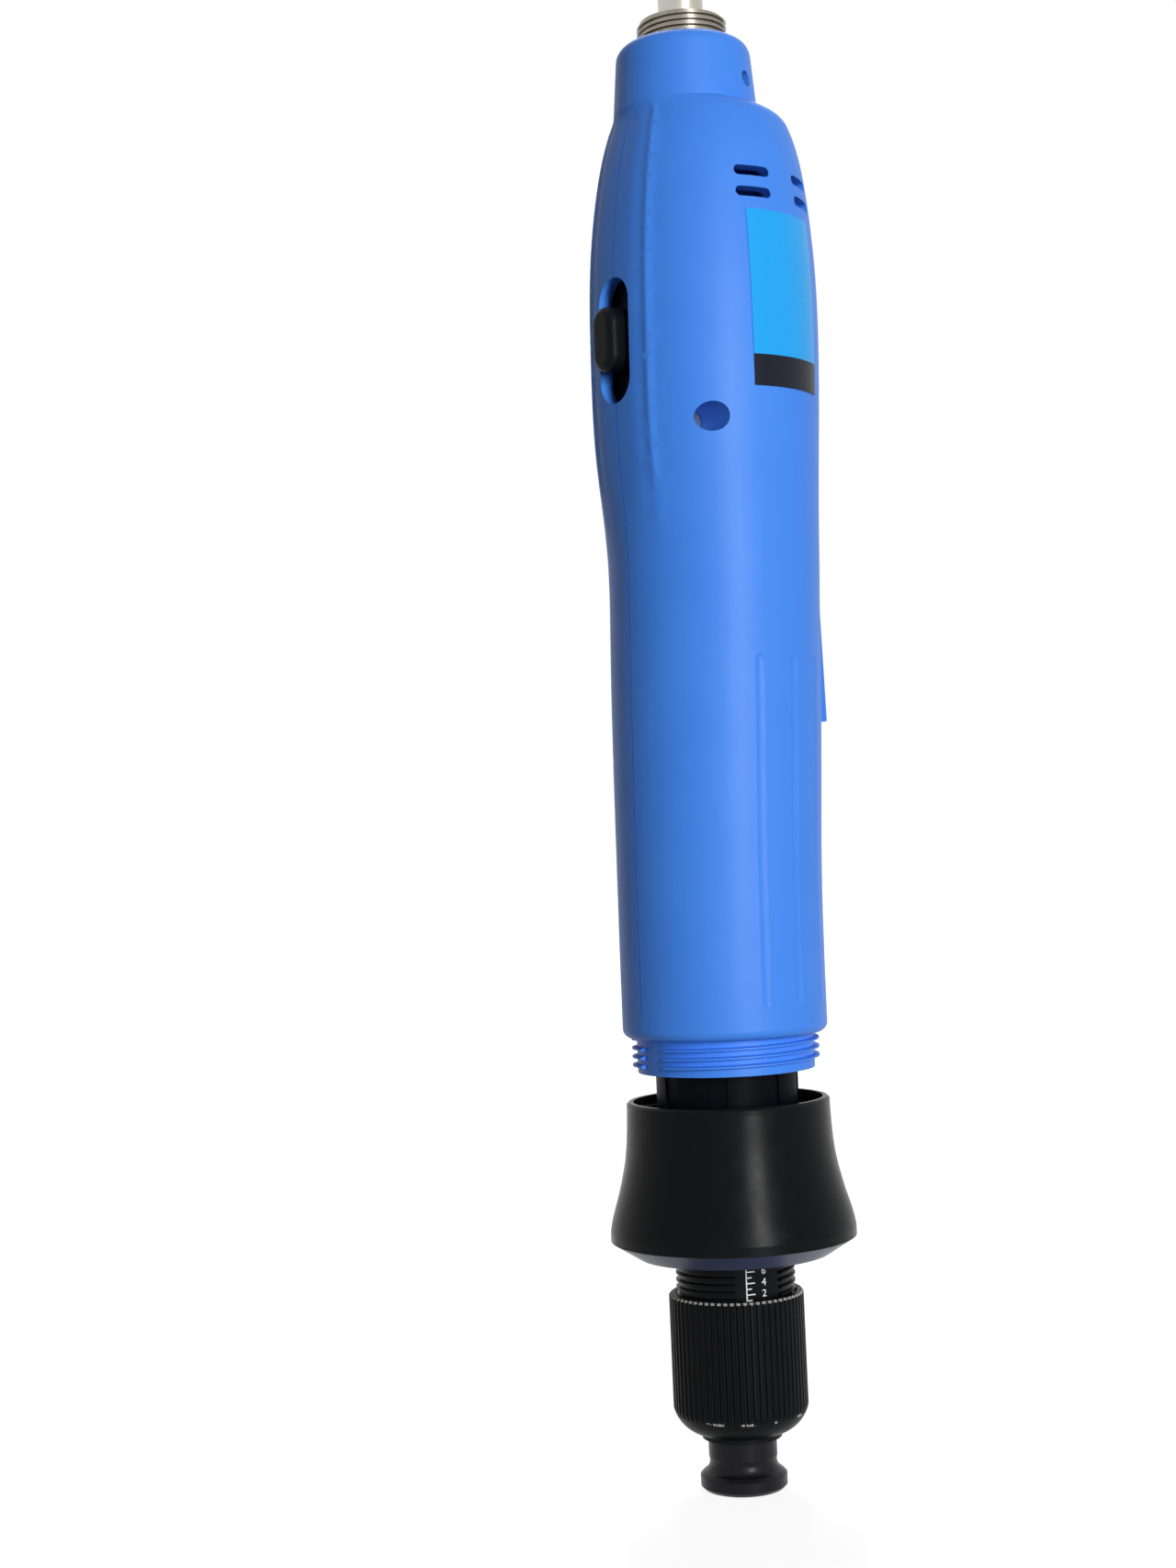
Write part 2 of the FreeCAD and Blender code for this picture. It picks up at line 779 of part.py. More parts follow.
def gear_face(teeth, inner_share, outer_share, half_width, z0):
    """Toothed face with involute flanks as arcs, one tooth centred on +X."""
    pitch_radius = gear_module * teeth / 2
    inner = pitch_radius - gear_module * inner_share
    outer = pitch_radius + gear_module * outer_share
    flank_foot = max(inner, pitch_radius * math.cos(math.radians(pressure_angle)))
    flank_middle = (flank_foot + outer) / 2
    step = 360.0 / teeth
    edges = []
    for index in range(teeth):
        middle = step * index
        foot_half, middle_half, outer_half = (
            half_tooth_angle(r, pitch_radius, half_width) for r in (flank_foot, flank_middle, outer))
        rise = [polar(inner, middle - foot_half, z0), polar(flank_foot, middle - foot_half, z0),
                polar(flank_middle, middle - middle_half, z0), polar(outer, middle - outer_half, z0)]
        fall = [polar(outer, middle + outer_half, z0), polar(flank_middle, middle + middle_half, z0),
                polar(flank_foot, middle + foot_half, z0), polar(inner, middle + foot_half, z0)]
        following = polar(inner, middle + step - foot_half, z0)
        if flank_foot > inner:
            edges.append(Part.LineSegment(rise[0], rise[1]).toShape())
        edges.append(Part.Arc(*rise[1:]).toShape())
        edges.append(Part.Arc(rise[3], polar(outer, middle, z0), fall[0]).toShape())
        edges.append(Part.Arc(*fall[:3]).toShape())
        if flank_foot > inner:
            edges.append(Part.LineSegment(fall[2], fall[3]).toShape())
        edges.append(Part.Arc(fall[3], polar(inner, middle + step / 2, z0), following).toShape())
    return Part.Face(Part.Wire(edges))


def spur_gear(teeth, bore, z0, z1):
    """Outer gear with a plain bore."""
    half_width = math.pi * gear_module / 4 - backlash / 2
    face = gear_face(teeth, dedendum_share, addendum_share, half_width, z0)
    gear = face.extrude(Vector(0, 0, z1 - z0))
    if bore:
        gear = gear.cut(rod(bore, z0 - overrun, z1 + overrun))
    return gear


def ring_gear():
    """Inner gear of both stages, with the web that the clutch pins press on."""
    teeth_foot = ring_foot + ring_web_height
    half_width = math.pi * gear_module / 4 + backlash / 2
    space = gear_face(ring_teeth, addendum_share, dedendum_share, half_width, teeth_foot)
    space.rotate(origin, up, 180.0 / ring_teeth)
    shape = rod(ring_outer_radius, ring_foot, first_planet_top)
    shape = shape.cut(space.extrude(Vector(0, 0, gear_stack)))
    return shape.cut(rod(bush_boss_radius, ring_foot - overrun, first_planet_top))


def planets(z0):
    """Three planets of one stage, each a tooth space towards the sun's tooth."""
    gear = spur_gear(planet_teeth, planet_pin_radius + running_gap, z0, z0 + face_width)
    gear.rotate(origin, up, 180.0 / planet_teeth)
    gear.translate(Vector(orbit_radius, 0, 0))
    return spun(gear, planet_count)


def carrier_pins(foot, height):
    """Pins that the planets of one stage turn on."""
    pin = Part.makeCylinder(planet_pin_radius, height + end_float + face_width, Vector(orbit_radius, 0, foot))
    return group(spun(pin, planet_count))


def first_carrier():
    """Disc that carries the first planets and the second sun."""
    disc = rod(carrier_radius, first_carrier_foot, first_carrier_foot + first_carrier_height)
    pin_hole = Part.makeCylinder(planet_pin_radius + seat_gap, first_carrier_height + 2 * overrun,
                                 Vector(orbit_radius, 0, first_carrier_foot - overrun))
    centre = rod(sun_spigot_radius + seat_gap, first_carrier_foot - overrun, first_planet_top)
    return disc.cut([centre] + spun(pin_hole, planet_count))


def second_sun():
    """Sun of the second stage, pressed into the first carrier."""
    gear = spur_gear(sun_teeth, 0, second_planet_foot, first_carrier_foot)
    return fused(gear, rod(sun_spigot_radius, second_planet_foot, first_carrier_foot + first_carrier_height))


def sun_pinion():
    """Sun of the first stage, on the motor's shaft."""
    return spur_gear(sun_teeth, rotor_shaft_radius + seat_gap, first_planet_foot, first_planet_top)


# Nose cap

def nose_cap():
    """Bell-shaped cap that screws onto the housing and closes the nose."""
    belly = cap_foot + cap_chamfer_height
    belly_top = belly + cap_belly_height
    flare_top = belly_top + cap_flare_height
    step = cap_belly_radius - cap_top_radius
    bore = housing_thread_radius + thread_gap
    crest = housing_thread_radius - housing_thread_depth + thread_gap
    flare = [(cap_belly_radius - step * radius_share, belly_top + cap_flare_height * height_share)
             for height_share, radius_share in cap_flare_shares]
    shape = turned(outline(
        (tube_radius + cap_bore_gap, cap_foot),
        [(cap_foot_radius, cap_foot)],
        [(cap_belly_radius, belly)],
        [(cap_belly_radius, belly_top)],
        flare + [(cap_top_radius, flare_top)],
        [(cap_top_radius, cap_top - cap_rim_edge)],
        [(cap_top_radius - cap_rim_edge, cap_top)],
        [(bore, cap_top)],
        [(bore, cap_top - housing_thread_length - end_float)],
        [(crest, cap_top - housing_thread_length - end_float)],
        [(crest, cap_foot + cap_floor)],
        [(tube_radius + cap_bore_gap, cap_foot + cap_floor)]))
    climb = (cap_top - housing_thread_foot()) / housing_pitch
    start = housing_thread_foot() + housing_pitch * (math.floor(climb - cap_thread_turns - 1) + 1 / 2)
    return fused(shape, thread_ridge(bore, crest, housing_pitch, start, cap_thread_turns))


def cap_washer():
    """Ring that lies on the cap's floor and seals the closed nose."""
    foot = cap_foot + cap_floor + seat_gap
    inner = tube_radius + cap_bore_gap
    return tube(inner + washer_width, inner, foot, foot + washer_height - 2 * seat_gap)


# Housing

def station(row, inset):
    """Height, radius, shift and panel relief of a body station, drawn in by an inset."""
    height_share, swell_share, shift_share, relief_share = row
    radius = grip_radius + swell_share * (palm_radius - grip_radius) - inset
    return (body_foot + height_share * body_length, radius, shift_share * palm_shift, relief_share)


def relief(angle):
    """Share of the radius by which the panel is flattened and its ridge stands out, at an angle from -X."""
    run = min(1.0, angle / panel_angle)
    offset = min(1.0, abs(angle - ridge_angle) / ridge_half_angle)
    ridge = ridge_height / palm_radius * (1 - offset * offset) ** 2
    return ridge - panel_depth_share * (1 - run * run * (3 - 2 * run))


def half_section(z, radius, shift, relief_share):
    """Curve of the front half of a body section, from the panel round to the back."""
    back = 180 - side_angle
    angles = [share * side_angle for share in side_angle_shares]
    angles += [side_angle + share * back for share in back_angle_shares]
    points = []
    for angle in angles:
        reach = radius * (1 + relief_share * relief(angle))
        points.append(Vector(shift, 0, z) + polar(reach, 180 + angle))
    curve = Part.BSplineCurve()
    curve.interpolate(Points=points, Parameters=angles, InitialTangent=-along_y, FinalTangent=along_y)
    return curve


def run_lengths(stations):
    """Distance along a run of stations, by height and radius."""
    lengths = [0.0]
    for low, high in zip(stations, stations[1:]):
        lengths.append(lengths[-1] + math.hypot(high[0] - low[0], high[1] - low[1]))
    return lengths


def half_loft(*runs):
    """Front half solid with one smooth skin per run of stations; runs meet at a shared station."""
    skins = []
    front = []
    back = []
    for stations in runs:
        curves = [half_section(*row) for row in stations]
        columns = []
        for poles in zip(*(curve.getPoles() for curve in curves)):
            column = Part.BSplineCurve()
            column.interpolate(Points=list(poles), Parameters=run_lengths(stations))
            columns.append(column)
        around, along = curves[0], columns[0]
        skin = Part.BSplineSurface()
        skin.buildFromPolesMultsKnots([column.getPoles() for column in columns], around.getMultiplicities(),
                                      along.getMultiplicities(), around.getKnots(), along.getKnots(),
                                      False, False, around.Degree, along.Degree)
        skins.append(skin.toShape())
        front.append(columns[0].toShape())
        back.insert(0, columns[-1].toShape())
    ends = [half_section(*runs[0][0]), half_section(*runs[-1][-1])]
    lines = [Part.LineSegment(end.StartPoint, end.EndPoint).toShape() for end in ends]
    caps = [Part.Face(Part.Wire([end.toShape(), line])) for end, line in zip(ends, lines)]
    parting = Part.Face(Part.Wire(front + [lines[1]] + back + [lines[0]]))
    shell = Part.makeCompound(skins + caps + [parting])
    shell.sewShape()
    return Part.Solid(shell.Shells[0])


def half_body(inset, rows=body_shares):
    """Front half of the body's main swell, drawn in by an inset."""
    return half_loft([station(row, inset) for row in rows])


def round_stations(radius, edge, foot, top, rising):
    """Plain stations that round an edge, outwards while rising or inwards."""
    rows = []
    for step in range(round_steps + 1):
        turn = math.pi / 2 * step / round_steps
        lean = math.sin(turn) if rising else math.cos(turn)
        climb = 1 - math.cos(turn) if rising else math.sin(turn)
        rows.append((foot + (top - foot) * climb, radius - edge * (1 - lean), 0.0, 0.0))
    return rows


def half_outer():
    """Front half of the housing's outside: foot, body, shoulder and neck."""
    foot_top = shoulder + foot_round
    neck_bend = neck_top - neck_round
    body = [station(row, 0) for row in body_shares]
    collar = (neck_foot, neck_foot_radius, 0.0, 0.0)
    middle = (body_crown + shoulder_height * shoulder_height_share, shoulder_radius, shoulder_shift,
              shoulder_panel_share)
    foot_edge = round_stations(grip_radius, foot_round, shoulder, foot_top, True)
    neck_edge = round_stations(neck_top_radius, neck_round, neck_bend, neck_top, False)
    return half_loft(foot_edge, [foot_edge[-1]] + body, [body[-1], middle, collar], [collar, neck_edge[0]],
                     neck_edge)


def body_at(height_share):
    """Height, radius and shift of the body between two stations."""
    low, high = [(a, b) for a, b in zip(body_shares, body_shares[1:]) if a[0] <= height_share <= b[0]][0]
    run = (height_share - low[0]) / (high[0] - low[0])
    return station([a + (b - a) * run for a, b in zip(low, high)], 0)[:3]


def grip_groove(angle):
    """Round-ended tool for one shallow grip groove along the surface."""
    points = []
    for step in range(groove_steps + 1):
        share = groove_start_share + (groove_end_share - groove_start_share) * step / groove_steps
        z, radius, shift = body_at(share)
        points.append(Vector(shift, 0, z) + polar(radius + groove_tool_radius - groove_depth, angle))
    path = Part.BSplineCurve()
    path.interpolate(points)
    start = Part.Circle(points[0], path.tangent(path.FirstParameter)[0], groove_tool_radius)
    channel = Part.Wire(path.toShape()).makePipeShell([Part.Wire(start.toShape())], True)
    ends = [Part.makeSphere(groove_tool_radius, end) for end in (points[0], points[-1])]
    return channel.fuse(ends)


def obround(length, width, depth):
    """Round-ended prism: length along Z, width along Y, depth along X from the origin."""
    straight = (length - width) / 2
    middle = block(0, depth, -width / 2, width / 2, -straight, straight)
    ends = [Part.makeCylinder(width / 2, depth, Vector(0, 0, z), along_x) for z in (-straight, straight)]
    return fused(middle, *ends)


def vent(angle, row):
    """Round-ended tool for one cooling slot."""
    height = body_foot + vent_lowest + vent_pitch * row
    shift = body_at((height - body_foot) / body_length)[2]
    tool = obround(vent_width, vent_height, grip_radius)
    tool.rotate(origin, along_x, 90)
    tool.translate(Vector(grip_radius / 2, 0, 0))
    tool.rotate(origin, up, angle)
    tool.translate(Vector(shift, 0, height))
    return tool


def lever_pocket(grow):
    """Space of the start lever in the housing, grown outwards to make its walls."""
    half = lever_width / 2 + free_gap + grow * pocket_side_wall
    foot = body_foot + lever_foot - free_gap - grow * pocket_side_wall
    top = body_foot + lever_pivot + lever_boss_radius + free_gap + grow * pocket_side_wall
    floor = pocket_floor - grow * pocket_floor_wall
    pivot_foot = body_foot + lever_pivot - lever_boss_radius - free_gap - grow * pocket_side_wall
    reach = palm_radius + palm_shift + overrun
    shallow = block(floor, reach, -half, half, foot, top)
    deep = block(floor - pocket_pivot_drop, reach, -half, half, pivot_foot, top)
    return fused(shallow, deep)


def screw_axis(y0, y1, radius):
    """Cylinder along Y on the housing screw's axis."""
    return Part.makeCylinder(radius, y1 - y0, Vector(screw_offset, y0, body_foot + screw_height), along_y)


def half_housing():
    """What both halves share, on the front side: walls, ribs, pocket, slot, vents and grooves."""
    outer = half_outer()
    reach = palm_radius + palm_shift + overrun
    front = block(-reach, reach, -reach, 0, housing_foot - overrun, neck_top + overrun)
    hollow = half_body(wall, body_shares[:-1])
    flange_seat = rod(case_flange_radius + seat_gap, case_seat, body_foot + overrun)
    inlet_flange_foot = neck_top - inlet_flange_drop - seat_gap
    inlet_seats = [rod(inlet_thread_radius + seat_gap, body_foot, neck_top + overrun),
                   rod(inlet_flange_radius + seat_gap, inlet_flange_foot,
                       inlet_flange_foot + inlet_flange_height + 2 * seat_gap)]
    shell = outer.cut([hollow, flange_seat, rod(housing_bore, housing_foot, body_foot)] + inlet_seats)
    ribs = []
    for share in motor_rib_shares:
        middle = case_top + motor_length * share
        ribs.append(tube(reach, motor_radius + seat_gap, middle - motor_rib_height / 2,
                         middle + motor_rib_height / 2).common(outer))
    for height in board_rib_heights:
        foot = body_foot + height
        rib = block(board_back - board_rib_depth, board_front + board_rib_depth, -reach,
                    board_rib_grip - board_width / 2, foot, foot + board_rib_height)
        ribs.append(rib.common(outer))
    ribs.append(lever_pocket(1).common(outer).common(front))
    shell = shell.fuse(ribs)
    board_slot = block(board_back - seat_gap, board_front + seat_gap, -board_width / 2 - seat_gap, 0,
                       body_foot, body_crown)
    switch_slot = obround(slot_length, slot_width, reach)
    switch_slot.translate(Vector(-reach - shutter_seat, 0, body_foot + slot_height))
    lever_pin_hole = lever_pin_rod(lever_pin_radius + seat_gap, lever_pin_length / 2 + seat_gap)
    button_hole = Part.makeCylinder(button_radius + running_gap, reach,
                                    Vector(start_switch_reach, 0, body_foot + button_height), along_x)
    seam = block(-reach, reach, -seam_width, 0, body_foot, body_crown).cut(half_body(seam_depth))
    vents = [vent(angle, row) for angle in vent_angles for row in range(vent_rows)]
    grooves = [grip_groove(groove_first_angle + groove_step_angle * k) for k in range(groove_count)]
    return shell.cut([board_slot, switch_slot, shutter_channel(), lever_pocket(0), lever_pin_hole,
                      button_hole, seam] + vents + grooves)


def lever_pin_rod(radius, half_length):
    """Cylinder along Y on the lever's pivot."""
    return Part.makeCylinder(radius, 2 * half_length,
                             Vector(lever_pivot_reach, -half_length, body_foot + lever_pivot), along_y)


def housing_thread_foot():
    """Height of the middle of the housing's thread where it begins."""
    return housing_foot + housing_thread_start


def threaded_foot(side):
    """Threaded half ring at the housing's foot, on the side of the given sign of Y."""
    root = housing_thread_radius - housing_thread_depth
    reach = housing_thread_radius + overrun
    low, high = sorted((0, side * reach))
    half = block(-reach, reach, low, high, housing_foot - overrun, shoulder + overrun)
    ring = tube(root, housing_bore, housing_foot, shoulder).common(half)
    relieved_low, relieved_high = sorted((side * root * seam_relief_share, side * reach))
    clear = block(-reach, reach, relieved_low, relieved_high, housing_foot, shoulder)
    ridge = thread_ridge(root, housing_thread_radius, housing_pitch, housing_thread_foot(),
                         housing_thread_turns)
    return ring.fuse(ridge.common(clear))


def screw_boss():
    """Boss of the housing screw on the front side, flattened beside the shutter."""
    boss = screw_axis(-palm_radius, 0, screw_hole_radius + boss_wall)
    return boss.common(half_body(seam_depth)).cut(shutter_channel())


def front_shell(half):
    """Front half of the housing, with the deep screw hole and the neck's set screw hole."""
    reach = palm_radius + palm_shift
    shell = half.fuse([screw_boss(), threaded_foot(-1)])
    holes = [screw_axis(-reach, -screw_seat, screw_hole_radius),
             screw_axis(-screw_seat - overrun, overrun, screw_shank_radius + seat_gap),
             set_screw_rod(set_screw_radius + seat_gap, inlet_flange_radius)]
    return solid_of(shell.cut(holes))


def rear_shell(half):
    """Rear half of the housing, with the boss that the screw bites into."""
    shell = mirrored(half.fuse(screw_boss())).fuse(threaded_foot(1))
    return solid_of(shell.cut(screw_axis(-overrun, screw_reach + seat_gap, screw_shank_radius + seat_gap)))


def solid_of(shape):
    """Merge split faces and keep the one solid."""
    shape = shape.removeSplitter()
    return shape.Solids[0] if len(shape.Solids) == 1 else shape


def housing_screw():
    """Pan-head screw that joins the halves at mid height."""
    head = screw_axis(-screw_seat - screw_head_height, -screw_seat, screw_head_radius)
    shank = screw_axis(-screw_seat, screw_reach, screw_shank_radius)
    recess = screw_axis(-screw_seat - overrun, -screw_seat - screw_head_height / 2, screw_recess_radius)
    return fused(head, shank).cut(recess)


def set_screw_rod(radius, inner):
    """Radial cylinder on the neck's set screw axis, from an inner radius outwards."""
    height = neck_top - inlet_flange_drop + inlet_flange_height / 2
    return Part.makeCylinder(radius, neck_foot_radius + overrun - inner,
                             polar(inner, set_screw_angle, height), polar(1, set_screw_angle))


def neck_set_screw():
    """Set screw that locks the inlet in the neck."""
    tip = inlet_flange_radius + seat_gap
    tail = neck_top_radius - set_screw_recess
    screw = set_screw_rod(set_screw_radius, tip).common(rod(tail, neck_foot, neck_top))
    socket = set_screw_rod(set_screw_radius * set_screw_socket_share, (tip + tail) / 2)
    return solid_of(screw.cut(socket))


def blank_sticker():
    """Thin plain sticker that follows the front half's surface."""
    skin = half_body(-sticker_thickness).cut(half_body(0))
    foot = body_foot + sticker_lowest
    reach = palm_radius + overrun
    shift = Vector(palm_shift, 0, foot)
    wedge = Part.makePolygon([shift, shift + polar(reach, sticker_first_angle),
                              shift + polar(reach, (sticker_first_angle + sticker_last_angle) / 2),
                              shift + polar(reach, sticker_last_angle), shift])
    return solid_of(skin.common(Part.Face(wedge).extrude(Vector(0, 0, sticker_height))))


# Switches and lever

def direction_knob():
    """Knob that slides in the panel's slot, with a stem to the shutter."""
    tool = obround(knob_length, knob_width, knob_reach - shutter_seat)
    tool.translate(Vector(-knob_reach, 0, body_foot + slot_height))
    rim = [edge for edge in tool.Edges if edge.BoundBox.XMax < -knob_reach + seat_gap]
    return tool.makeFillet(knob_round, rim)


def shutter_half_length():
    """Half length of the shutter, so that it covers the slot at both ends of the travel."""
    return slot_length / 2 + knob_travel + free_gap


def switch_shutter():
    """Plate behind the slot that moves with the knob and keeps dust out."""
    half = shutter_half_length()
    middle = body_foot + slot_height
    return block(-shutter_seat, shutter_thickness - shutter_seat, -shutter_width / 2, shutter_width / 2,
                 middle - half, middle + half)


def shutter_channel():
    """Room for the shutter's whole travel behind the slot."""
    half = shutter_half_length() + knob_travel + free_gap
    side = shutter_width / 2 + free_gap
    middle = body_foot + slot_height
    return block(-shutter_seat - end_float, shutter_thickness + end_float - shutter_seat, -side, side,
                 middle - half, middle + half)


def direction_switch():
    """Body of the slide switch, between the shutter and the board."""
    middle = body_foot + slot_height
    half = direction_switch_length / 2
    front = shutter_thickness - shutter_seat + end_float
    return block(front, board_back, -direction_switch_width / 2, direction_switch_width / 2,
                 middle - half, middle + half)


def start_lever():
    """Paddle that starts the motor, hinged on a round boss at its upper end."""
    foot = body_foot + lever_foot
    pivot = body_foot + lever_pivot
    side = outline(
        (lever_inner_reach, foot),
        [(lever_foot_reach, foot)],
        [(lever_pivot_reach + lever_boss_radius, pivot)],
        [(lever_pivot_reach, pivot)],
        [(lever_inner_reach, pivot - 2 * lever_boss_radius)])
    side.translate(Vector(0, -lever_width / 2, 0))
    paddle = side.extrude(Vector(0, lever_width, 0))
    outer_reach = min(lever_foot_reach, lever_pivot_reach + lever_boss_radius)
    edges = [edge for edge in paddle.Edges if edge.BoundBox.XMin > outer_reach - seat_gap
             and edge.BoundBox.ZMin < pivot - seat_gap]
    paddle = paddle.makeFillet(lever_edge_round, edges)
    boss = lever_pin_rod(lever_boss_radius, lever_width / 2)
    rims = [edge for edge in boss.Edges if edge.BoundBox.YLength < seat_gap]
    boss = boss.makeFillet(lever_edge_round, rims)
    return fused(paddle, boss).cut(lever_pin_rod(lever_pin_radius + running_gap, lever_width))


def lever_pin():
    """Pivot pin of the lever, held in the pocket's side walls."""
    return lever_pin_rod(lever_pin_radius, lever_pin_length / 2)


def start_switch():
    """Body of the snap switch that the lever works."""
    foot = body_foot + start_switch_foot
    body = block(board_front, start_switch_reach, -start_switch_width / 2, start_switch_width / 2,
                 foot, foot + start_switch_length)
    bore = Part.makeCylinder(button_radius + running_gap, button_stroke() + lever_press + overrun,
                             Vector(start_switch_reach - button_stroke() - lever_press, 0,
                                    body_foot + button_height), along_x)
    return body.cut(bore)


def button_stroke():
    """How far the button reaches into its switch at rest."""
    return 2 * button_radius


def start_button():
    """Button of the start switch, just under the lever."""
    start = start_switch_reach - button_stroke()
    return Part.makeCylinder(button_radius, lever_inner_reach - seat_gap - start,
                             Vector(start, 0, body_foot + button_height), along_x)


def control_board():
    """Circuit board that stands between the halves."""
    foot = body_foot + board_foot
    half = board_width / 2 - seat_gap
    return block(board_back, board_front, -half, half, foot, foot + board_length)


def brake_relay():
    """Relay that stops the motor short when the clutch trips."""
    foot = body_foot + relay_foot
    return block(board_front, relay_reach, -relay_width / 2, relay_width / 2, foot, foot + relay_length)


def smoothing_capacitor():
    """Round capacitor on the board."""
    return Part.makeCylinder(capacitor_radius, capacitor_reach - board_front,
                             Vector(board_front, 0, body_foot + capacitor_height), along_x)


# Motor

def motor_can():
    """Drawn steel can, closed at the front."""
    inner = motor_radius - motor_can_wall
    bush_hole = rod(motor_bush_radius + seat_gap, case_top - overrun, motor_top)
    return rod(motor_radius, case_top, motor_top).cut(
        [rod(inner, case_top + motor_front_wall, motor_top + overrun), bush_hole])


def motor_bush(foot):
    """Sintered bush of the rotor's shaft."""
    return tube(motor_bush_radius, rotor_shaft_radius + running_gap, foot, foot + motor_bush_length)


def rear_bush_foot():
    """Height of the rear bush, in the end cap's plate."""
    return motor_top + end_cap_skirt


def motor_end_cap():
    """Moulded rear cover of the motor, with the two brush holders."""
    inner = motor_radius - motor_can_wall - seat_gap
    skirt_inner = inner - motor_can_wall
    cover = rod(motor_radius, motor_top, end_cap_top).fuse(rod(inner, motor_top - end_cap_spigot, motor_top))
    cover = cover.cut(rod(skirt_inner, motor_top - end_cap_spigot - overrun, motor_top + end_cap_skirt))
    half_width = brush_width / 2 + brush_holder_wall
    foot = brush_foot() - brush_holder_wall
    holder_inner = commutator_radius + brush_length / 2
    holder = block(holder_inner, motor_radius - motor_can_wall, -half_width, half_width, foot,
                   motor_top + end_cap_skirt).common(rod(inner, foot, end_cap_top))
    cover = cover.fuse(spun(holder, 2))
    window = block(0, inner - seat_gap - motor_can_wall, -brush_width / 2 - seat_gap,
                   brush_width / 2 + seat_gap, brush_foot() - seat_gap,
                   brush_foot() + brush_height + seat_gap)
    bush_seat = rod(motor_bush_radius + seat_gap, rear_bush_foot() - overrun,
                    rear_bush_foot() + motor_bush_length + overrun)
    return solid_of(cover.cut(spun(window, 2) + [bush_seat]))


def commutator_foot():
    """Height of the commutator, just under the end cap's plate."""
    return motor_top + end_cap_skirt - end_float - commutator_length


def brush_foot():
    """Height of the brushes, mid-way on the commutator."""
    return commutator_foot() + (commutator_length - brush_height) / 2


def brushes():
    """Two carbon brushes on the commutator."""
    start = commutator_radius + running_gap
    brush = block(start, start + brush_length, -brush_width / 2, brush_width / 2,
                  brush_foot(), brush_foot() + brush_height)
    bed = rod(start, brush_foot() - overrun, brush_foot() + brush_height + overrun)
    return group(spun(brush.cut(bed), 2))


def brush_springs():
    """Coils that press the brushes inwards."""
    start = commutator_radius + running_gap + brush_length + seat_gap
    end = motor_radius - 2 * motor_can_wall - 3 * seat_gap
    spring = coil(brush_spring_radius, brush_spring_wire / 2, start, end, brush_spring_turns)
    spring.rotate(origin, along_y, 90)
    spring.translate(Vector(0, 0, brush_foot() + brush_height / 2))
    return group(spun(spring, 2))


def magnet_foot():
    """Height of the magnets above the can's front wall."""
    return case_top + (motor_length - magnet_length) / 2


def motor_magnets():
    """Two curved magnets glued in the can."""
    outer = motor_radius - motor_can_wall - seat_gap
    section = Part.Face(Part.Wire([
        Part.Arc(polar(outer, -magnet_angle / 2), polar(outer, 0), polar(outer, magnet_angle / 2)).toShape(),
        Part.LineSegment(polar(outer, magnet_angle / 2),
                         polar(outer - magnet_thickness, magnet_angle / 2)).toShape(),
        Part.Arc(polar(outer - magnet_thickness, magnet_angle / 2), polar(outer - magnet_thickness, 0),
                 polar(outer - magnet_thickness, -magnet_angle / 2)).toShape(),
        Part.LineSegment(polar(outer - magnet_thickness, -magnet_angle / 2),
                         polar(outer, -magnet_angle / 2)).toShape()]))
    magnet = section.extrude(Vector(0, 0, magnet_length))
    magnet.translate(Vector(0, 0, magnet_foot()))
    return group(spun(magnet, 2))


def rotor_shaft():
    """Motor shaft from the pinion to the rear bush."""
    return rod(rotor_shaft_radius, first_planet_foot, rear_bush_foot() + motor_bush_length)


def core_foot():
    """Height of the laminated core, centred on the magnets."""
    return magnet_foot() + (magnet_length - core_length) / 2


def rotor_core():
    """Laminated core with winding slots."""
    top = core_foot() + core_length
    core = tube(core_radius, rotor_shaft_radius + seat_gap, core_foot(), top)
    slot = block(core_radius - core_slot_depth, core_radius + overrun, -core_slot_width / 2,
                 core_slot_width / 2, core_foot() - overrun, top + overrun)
    return core.cut(spun(slot, core_slot_count))


def rotor_winding():
    """Wound heads at both ends of the core, joined by the bundles in its slots."""
    radius = core_radius * winding_radius_share
    top = core_foot() + core_length
    heads = [tube(radius, winding_inner_radius, core_foot() - winding_length, core_foot() - seat_gap),
             tube(radius, winding_inner_radius, top + seat_gap, top + winding_length)]
    half = core_slot_width / 2 - seat_gap
    bundle = block(core_radius - core_slot_depth + seat_gap, radius - seat_gap, -half, half,
                   core_foot() - winding_length / 2, top + winding_length / 2)
    return fused(*(heads + spun(bundle, core_slot_count)))


def commutator():
    """Copper drum that the brushes run on."""
    drum = tube(commutator_radius, rotor_shaft_radius + seat_gap, commutator_foot(),
                commutator_foot() + commutator_length)
    groove = block(commutator_radius - commutator_groove, commutator_radius + overrun,
                   -commutator_groove / 2, commutator_groove / 2, commutator_foot() - overrun,
                   commutator_foot() + commutator_length + overrun)
    return drum.cut(spun(groove, core_slot_count))


def motor_leads():
    """Two leads from the end cap to the board."""
    x = board_front + lead_radius + seat_gap
    return group(Part.makeCylinder(lead_radius, motor_lead_length, Vector(x, y, end_cap_top))
                 for y in (-motor_lead_spread, motor_lead_spread))


# Tail inlet

